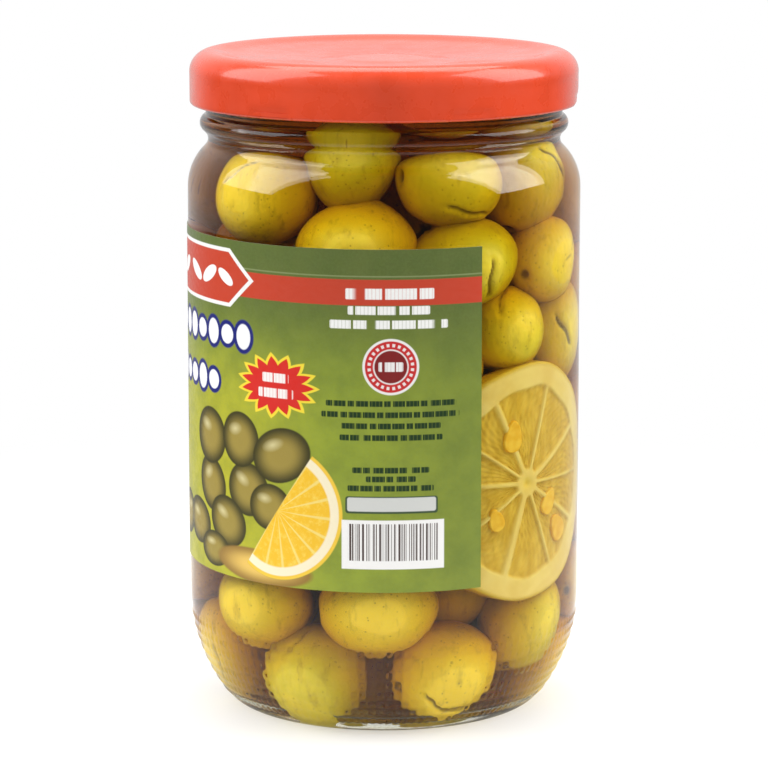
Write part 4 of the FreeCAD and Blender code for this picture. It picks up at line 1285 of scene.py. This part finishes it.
class OLIVEJAR_OT_lemon(bpy.types.Operator):
    """Make the slice of lemon bent to the glass, with rind, pith, sunk pulp, membranes and seeds"""

    bl_idname = "olive_jar.lemon"
    bl_label = "Lemon slice and seeds"

    def execute(self, context):
        fill = context.scene.jar_fill
        columns, segments = 320, 10
        around = np.linspace(0, 2 * math.pi, columns, endpoint=False)[None, :]
        face = np.linspace(0.02, 0.985, 78)[:, None]
        rim = np.array([1.0, 1.0, 1.0, 1.0, 1.0, 1.0])[:, None]
        back = np.linspace(0.985, 0.02, 16)[:, None]
        share = np.concatenate([face, rim, back])
        depth = np.concatenate([0 * face, np.linspace(0.07, 0.93, 6)[:, None], 1 + 0 * back])
        on_front = np.concatenate([1 + 0 * face, 0 * rim, 0 * back])

        size = fill.lemon_width / 2
        skew = around + 0.10 * np.sin(around * 2 + 0.6) + 0.05 * np.sin(5 * around)
        wedge = np.abs(((skew * segments / (2 * math.pi)) % 1) - 0.5)
        from_membrane = (0.5 - wedge) * 2 * math.pi / segments * share * size
        pith = 0.80 + 0.012 * np.sin(4 * around + 2) + 0.01 * np.sin(11 * around)
        in_pulp = smooth(from_membrane, 0.25 * MM, 0.75 * MM)
        in_pulp = in_pulp * smooth(share, 0.10, 0.14) * (1 - smooth(share, pith - 0.03, pith + 0.005))
        sacs = np.sin(around * 61 + 6 * np.sin(share * 9)) * np.sin(share * 34 + 3 * np.sin(around * 7))
        sunk = in_pulp * (0.75 + 0.16 * sacs) * MM * on_front
        core = near(share, 0, 0.05) * 0.6 * MM * on_front
        depth = depth + (sunk + core) / fill.lemon_thickness
        rings = lemon_points(fill, share, around, depth)
        zero = np.zeros((1, 1))
        ends = [lemon_points(fill, zero, zero, zero + deep)[0] for deep in (0.18, 1.0)]
        pulp = np.concatenate([(in_pulp * on_front).ravel(), [0, 0]])
        rind = np.concatenate([smooth(share + 0 * around, 0.955, 0.995).ravel(), [0, 0]])
        line = near(from_membrane + 0 * share, 0, 0.4 * MM) * (share < 0.8) * (share > 0.08) * on_front
        values = {"pulp": pulp, "rind": rind, "membrane": np.concatenate([line.ravel(), [0, 0]])}
        piece = make_piece("lemon_slice_visual", rings[None], ends[0], ends[1], values=values, sharp=0)
        place(piece, lemon_flesh(), "lemon_slice")

        seeds = np.array(SEEDS)
        across = np.linspace(0, 2 * math.pi, 28, endpoint=False)[None, None, :]
        along = np.linspace(0, math.pi, 22)[None, :, None]
        lean = seeds[:, 4][:, None, None]
        width = seeds[:, 3][:, None, None] * 0.6 * np.sin(along) ** 0.9 * (1 - 0.28 * np.cos(along))
        reach = seeds[:, 2][:, None, None] / 2 * np.cos(along)
        flat_x = reach * np.cos(lean) - width * np.cos(across) * np.sin(lean) + seeds[:, 0][:, None, None]
        flat_y = reach * np.sin(lean) + width * np.cos(across) * np.cos(lean) + seeds[:, 1][:, None, None]
        out = np.minimum(39.9 + width * np.sin(across), 40.62)
        turn = LEMON_TURN + np.arcsin(flat_x / 40.0)
        middle_z = (LEMON_LOW.z + LEMON_HIGH.z) / 2
        out = out * MM
        body = np.stack([out * np.cos(turn), out * np.sin(turn), middle_z + flat_y * MM + 0 * out], -1)
        ends = [body[:, 0].mean(1), body[:, -1].mean(1)]
        piece = make_piece("lemon_seeds_visual", body[:, 1:-1], *ends, sharp=0)
        material, tree, shader = opaque_material("lemon_seed", 0.3, Specular_IOR_Level=0.15)
        grain = noise(tree, object_place(tree), 500, 4)
        coat = mix_colour(tree, spread(tree, grain, 0.3, 0.7), (0.80, 0.42, 0.03), (0.90, 0.58, 0.08))
        join(tree, coat, shader.inputs["Base Color"])
        join(tree, bump(tree, grain, 0.0002, 0.4), shader.inputs["Normal"])
        place(piece, material, None)
        return {"FINISHED"}


def lemon_flesh():
    """Lemon that has lain in brine: cream pith, honey pulp with juice sacs, membranes and a yellow rind."""
    material, tree, body = opaque_material(
        "lemon_flesh", 0.38, Specular_IOR_Level=0.1, Subsurface_Weight=0.15, Subsurface_Scale=0.003
    )
    body.inputs["Subsurface Radius"].default_value = (1.0, 0.8, 0.3)
    spot = object_place(tree)
    sacs = tree.nodes.new("ShaderNodeTexVoronoi")
    sacs.inputs["Scale"].default_value = 420
    join(tree, vector_node(tree, "MULTIPLY", spot, (1, 1, 0.6)), sacs.inputs["Vector"])
    cloud = noise(tree, spot, 130, 4, 0.6)
    pith = mix_colour(tree, spread(tree, cloud, 0.3, 0.7), (0.78, 0.56, 0.18), (0.86, 0.67, 0.27))
    between = spread(tree, sacs.outputs["Distance"], 0.1, 0.8)
    flesh = mix_colour(tree, between, (0.80, 0.57, 0.20), (0.68, 0.45, 0.12))
    flesh = mix_colour(tree, spread(tree, cloud, 0.4, 0.8, 0.0, 0.5), flesh, (0.76, 0.52, 0.14))
    mixed = mix_colour(tree, attribute(tree, "pulp"), pith, flesh)
    mixed = mix_colour(tree, times(tree, attribute(tree, "membrane"), 0.4), mixed, (0.80, 0.60, 0.22))
    mixed = mix_colour(tree, attribute(tree, "rind"), mixed, (0.66, 0.44, 0.06))
    join(tree, mixed, body.inputs["Base Color"])
    relief = times(tree, sacs.outputs["Distance"], attribute(tree, "pulp"))
    join(tree, bump(tree, plus(tree, relief, times(tree, cloud, 0.3)), 0.0006, 0.7), body.inputs["Normal"])
    return material


# ---------------------------------------------------------------- stage


def soft_lamp(name, turn, rise, distance, width, height, power, aim):
    """A rectangular lamp round the jar, by turn and rise in degrees, that looks at the aim point."""
    lamp = bpy.data.lights.new(name, "AREA")
    lamp.shape, lamp.size, lamp.size_y, lamp.energy = "RECTANGLE", width, height, power
    lamp_object = bpy.data.objects.new(name, lamp)
    a, e = math.radians(turn), math.radians(rise)
    way = Vector((math.cos(a) * math.cos(e), math.sin(a) * math.cos(e), math.sin(e)))
    lamp_object.location = aim + way * distance
    lamp_object.rotation_euler = way.to_track_quat("Z", "Y").to_euler()
    bpy.context.scene.collection.objects.link(lamp_object)
    return lamp_object


def white_beyond(tree, place_vector, away, soft):
    """White for the camera, and for gloss and glass on the side behind the jar; dim for the rest."""
    path = add(tree, "ShaderNodeLightPath")
    unit = vector_node(tree, "NORMALIZE", place_vector)
    behind = vector_node(tree, "DOT_PRODUCT", unit, away)
    gloss = spread(tree, behind, 0.35, 0.95, 0.03, 0.7)
    through = spread(tree, behind, -0.2, 0.6, 0.06, 1.0)
    level = times(tree, path.outputs["Is Glossy Ray"], gloss)
    level = larger(tree, level, times(tree, path.outputs["Is Transmission Ray"], through))
    level = larger(tree, level, times(tree, path.outputs["Is Diffuse Ray"], soft))
    return larger(tree, level, path.outputs["Is Camera Ray"])


class OLIVEJAR_OT_stage(bpy.types.Operator):
    """Set the pale floor, the soft lamps, the white surroundings and the camera"""

    bl_idname = "olive_jar.stage"
    bl_label = "Stage"

    def execute(self, context):
        scene, look = context.scene, context.scene.jar_stage
        turn = np.linspace(0, 2 * math.pi, 96, endpoint=False)
        reach = np.array([0.05, 0.2, 0.5, 1.5, 4.0])[:, None]
        rings = np.stack([reach * np.cos(turn), reach * np.sin(turn), 0 * reach * turn], -1)
        floor = make_piece("floor", rings[None], np.array([[0, 0, 0.0]]), None)
        if floor.data.polygons[0].normal.z < 0:
            floor.data.flip_normals()
        material, tree, body = opaque_material("pale_floor", 0.6, Specular_IOR_Level=0.2)
        body.inputs["Base Color"].default_value = (0.92, 0.92, 0.92, 1)
        glow = add(tree, "ShaderNodeEmission")
        away = (-math.sin(look.azimuth), math.cos(look.azimuth), 0.0)
        join(tree, white_beyond(tree, object_place(tree), away, 0.6), glow.inputs["Strength"])
        distance = vector_node(tree, "LENGTH", object_place(tree))
        mix = add(tree, "ShaderNodeMixShader")
        path = add(tree, "ShaderNodeLightPath")
        share = spread(tree, distance, 0.06, 0.30, 0.35, 1.0)
        join(tree, larger(tree, share, path.outputs["Is Transmission Ray"]), mix.inputs[0])
        join(tree, body.outputs[0], mix.inputs[1])
        join(tree, glow.outputs[0], mix.inputs[2])
        out = next(node for node in tree.nodes if node.type == "OUTPUT_MATERIAL")
        join(tree, mix.outputs[0], out.inputs["Surface"])
        floor.data.materials.append(material)

        world = bpy.data.worlds.new("surroundings")
        world.use_nodes = True
        background = world.node_tree.nodes["Background"]
        background.inputs["Color"].default_value = (1, 1, 1, 1)
        sky = world.node_tree.nodes.new("ShaderNodeTexCoord").outputs["Generated"]
        strength = white_beyond(world.node_tree, sky, away, 0.95)
        join(world.node_tree, strength, background.inputs["Strength"])
        scene.world = world

        aim = Vector((0, 0, look.aim))
        facing = math.degrees(look.azimuth) - 90
        soft_lamp("key", facing - 90, 40, 0.9, 0.7, 0.9, 5.5, aim)
        soft_lamp("fill", facing + 90, 38, 1.0, 0.7, 0.9, 6.5, aim)
        soft_lamp("top", facing + 180, 70, 0.9, 0.8, 0.5, 3.5, aim)

        camera = bpy.data.cameras.new("camera")
        camera.lens, camera.sensor_width, camera.shift_y = look.lens, 36.0, -0.07
        camera.clip_start, camera.clip_end = 0.02, 20
        viewer = bpy.data.objects.new("camera", camera)
        a, e = look.azimuth, look.elevation
        back = Vector((math.sin(a) * math.cos(e), -math.cos(a) * math.cos(e), math.sin(e)))
        viewer.location = aim + back * look.distance
        viewer.rotation_euler = back.to_track_quat("Z", "Y").to_euler()
        scene.collection.objects.link(viewer)
        scene.camera = viewer
        scene.view_settings.view_transform = "Standard"
        return {"FINISHED"}


class OLIVEJAR_PT_panel(bpy.types.Panel):
    """Lists the jar's pieces and sizes in the sidebar"""

    bl_idname = "OLIVEJAR_PT_panel"
    bl_label = "Olive Jar"
    bl_space_type = "VIEW_3D"
    bl_region_type = "UI"
    bl_category = "Olive Jar"

    def draw(self, context):
        for operator in OPERATORS:
            self.layout.operator(operator.bl_idname)
        for key, group in GROUPS.items():
            column = self.layout.column(align=True)
            for name in group.__annotations__:
                column.prop(getattr(context.scene, key), name)


GROUPS = {
    "jar_glass": GlassSizes,
    "jar_closure": ClosureSizes,
    "jar_label": LabelLook,
    "jar_fill": FillLook,
    "jar_stage": StageLook,
}
OPERATORS = (
    OLIVEJAR_OT_stage,
    OLIVEJAR_OT_glass,
    OLIVEJAR_OT_lid,
    OLIVEJAR_OT_label,
    OLIVEJAR_OT_brine,
    OLIVEJAR_OT_olives,
    OLIVEJAR_OT_lemon,
)
CLASSES = (*GROUPS.values(), *OPERATORS, OLIVEJAR_PT_panel)


def register():
    for item in CLASSES:
        bpy.utils.register_class(item)
    for key, group in GROUPS.items():
        setattr(bpy.types.Scene, key, PointerProperty(type=group))


def unregister():
    for key in GROUPS:
        delattr(bpy.types.Scene, key)
    for item in reversed(CLASSES):
        bpy.utils.unregister_class(item)


def main():
    """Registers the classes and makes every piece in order."""
    register()
    bpy.ops.olive_jar.stage()
    bpy.ops.olive_jar.glass()
    bpy.ops.olive_jar.lid()
    bpy.ops.olive_jar.label()
    bpy.ops.olive_jar.brine()
    bpy.ops.olive_jar.olives()
    bpy.ops.olive_jar.lemon()


if __name__ == "__main__":
    main()
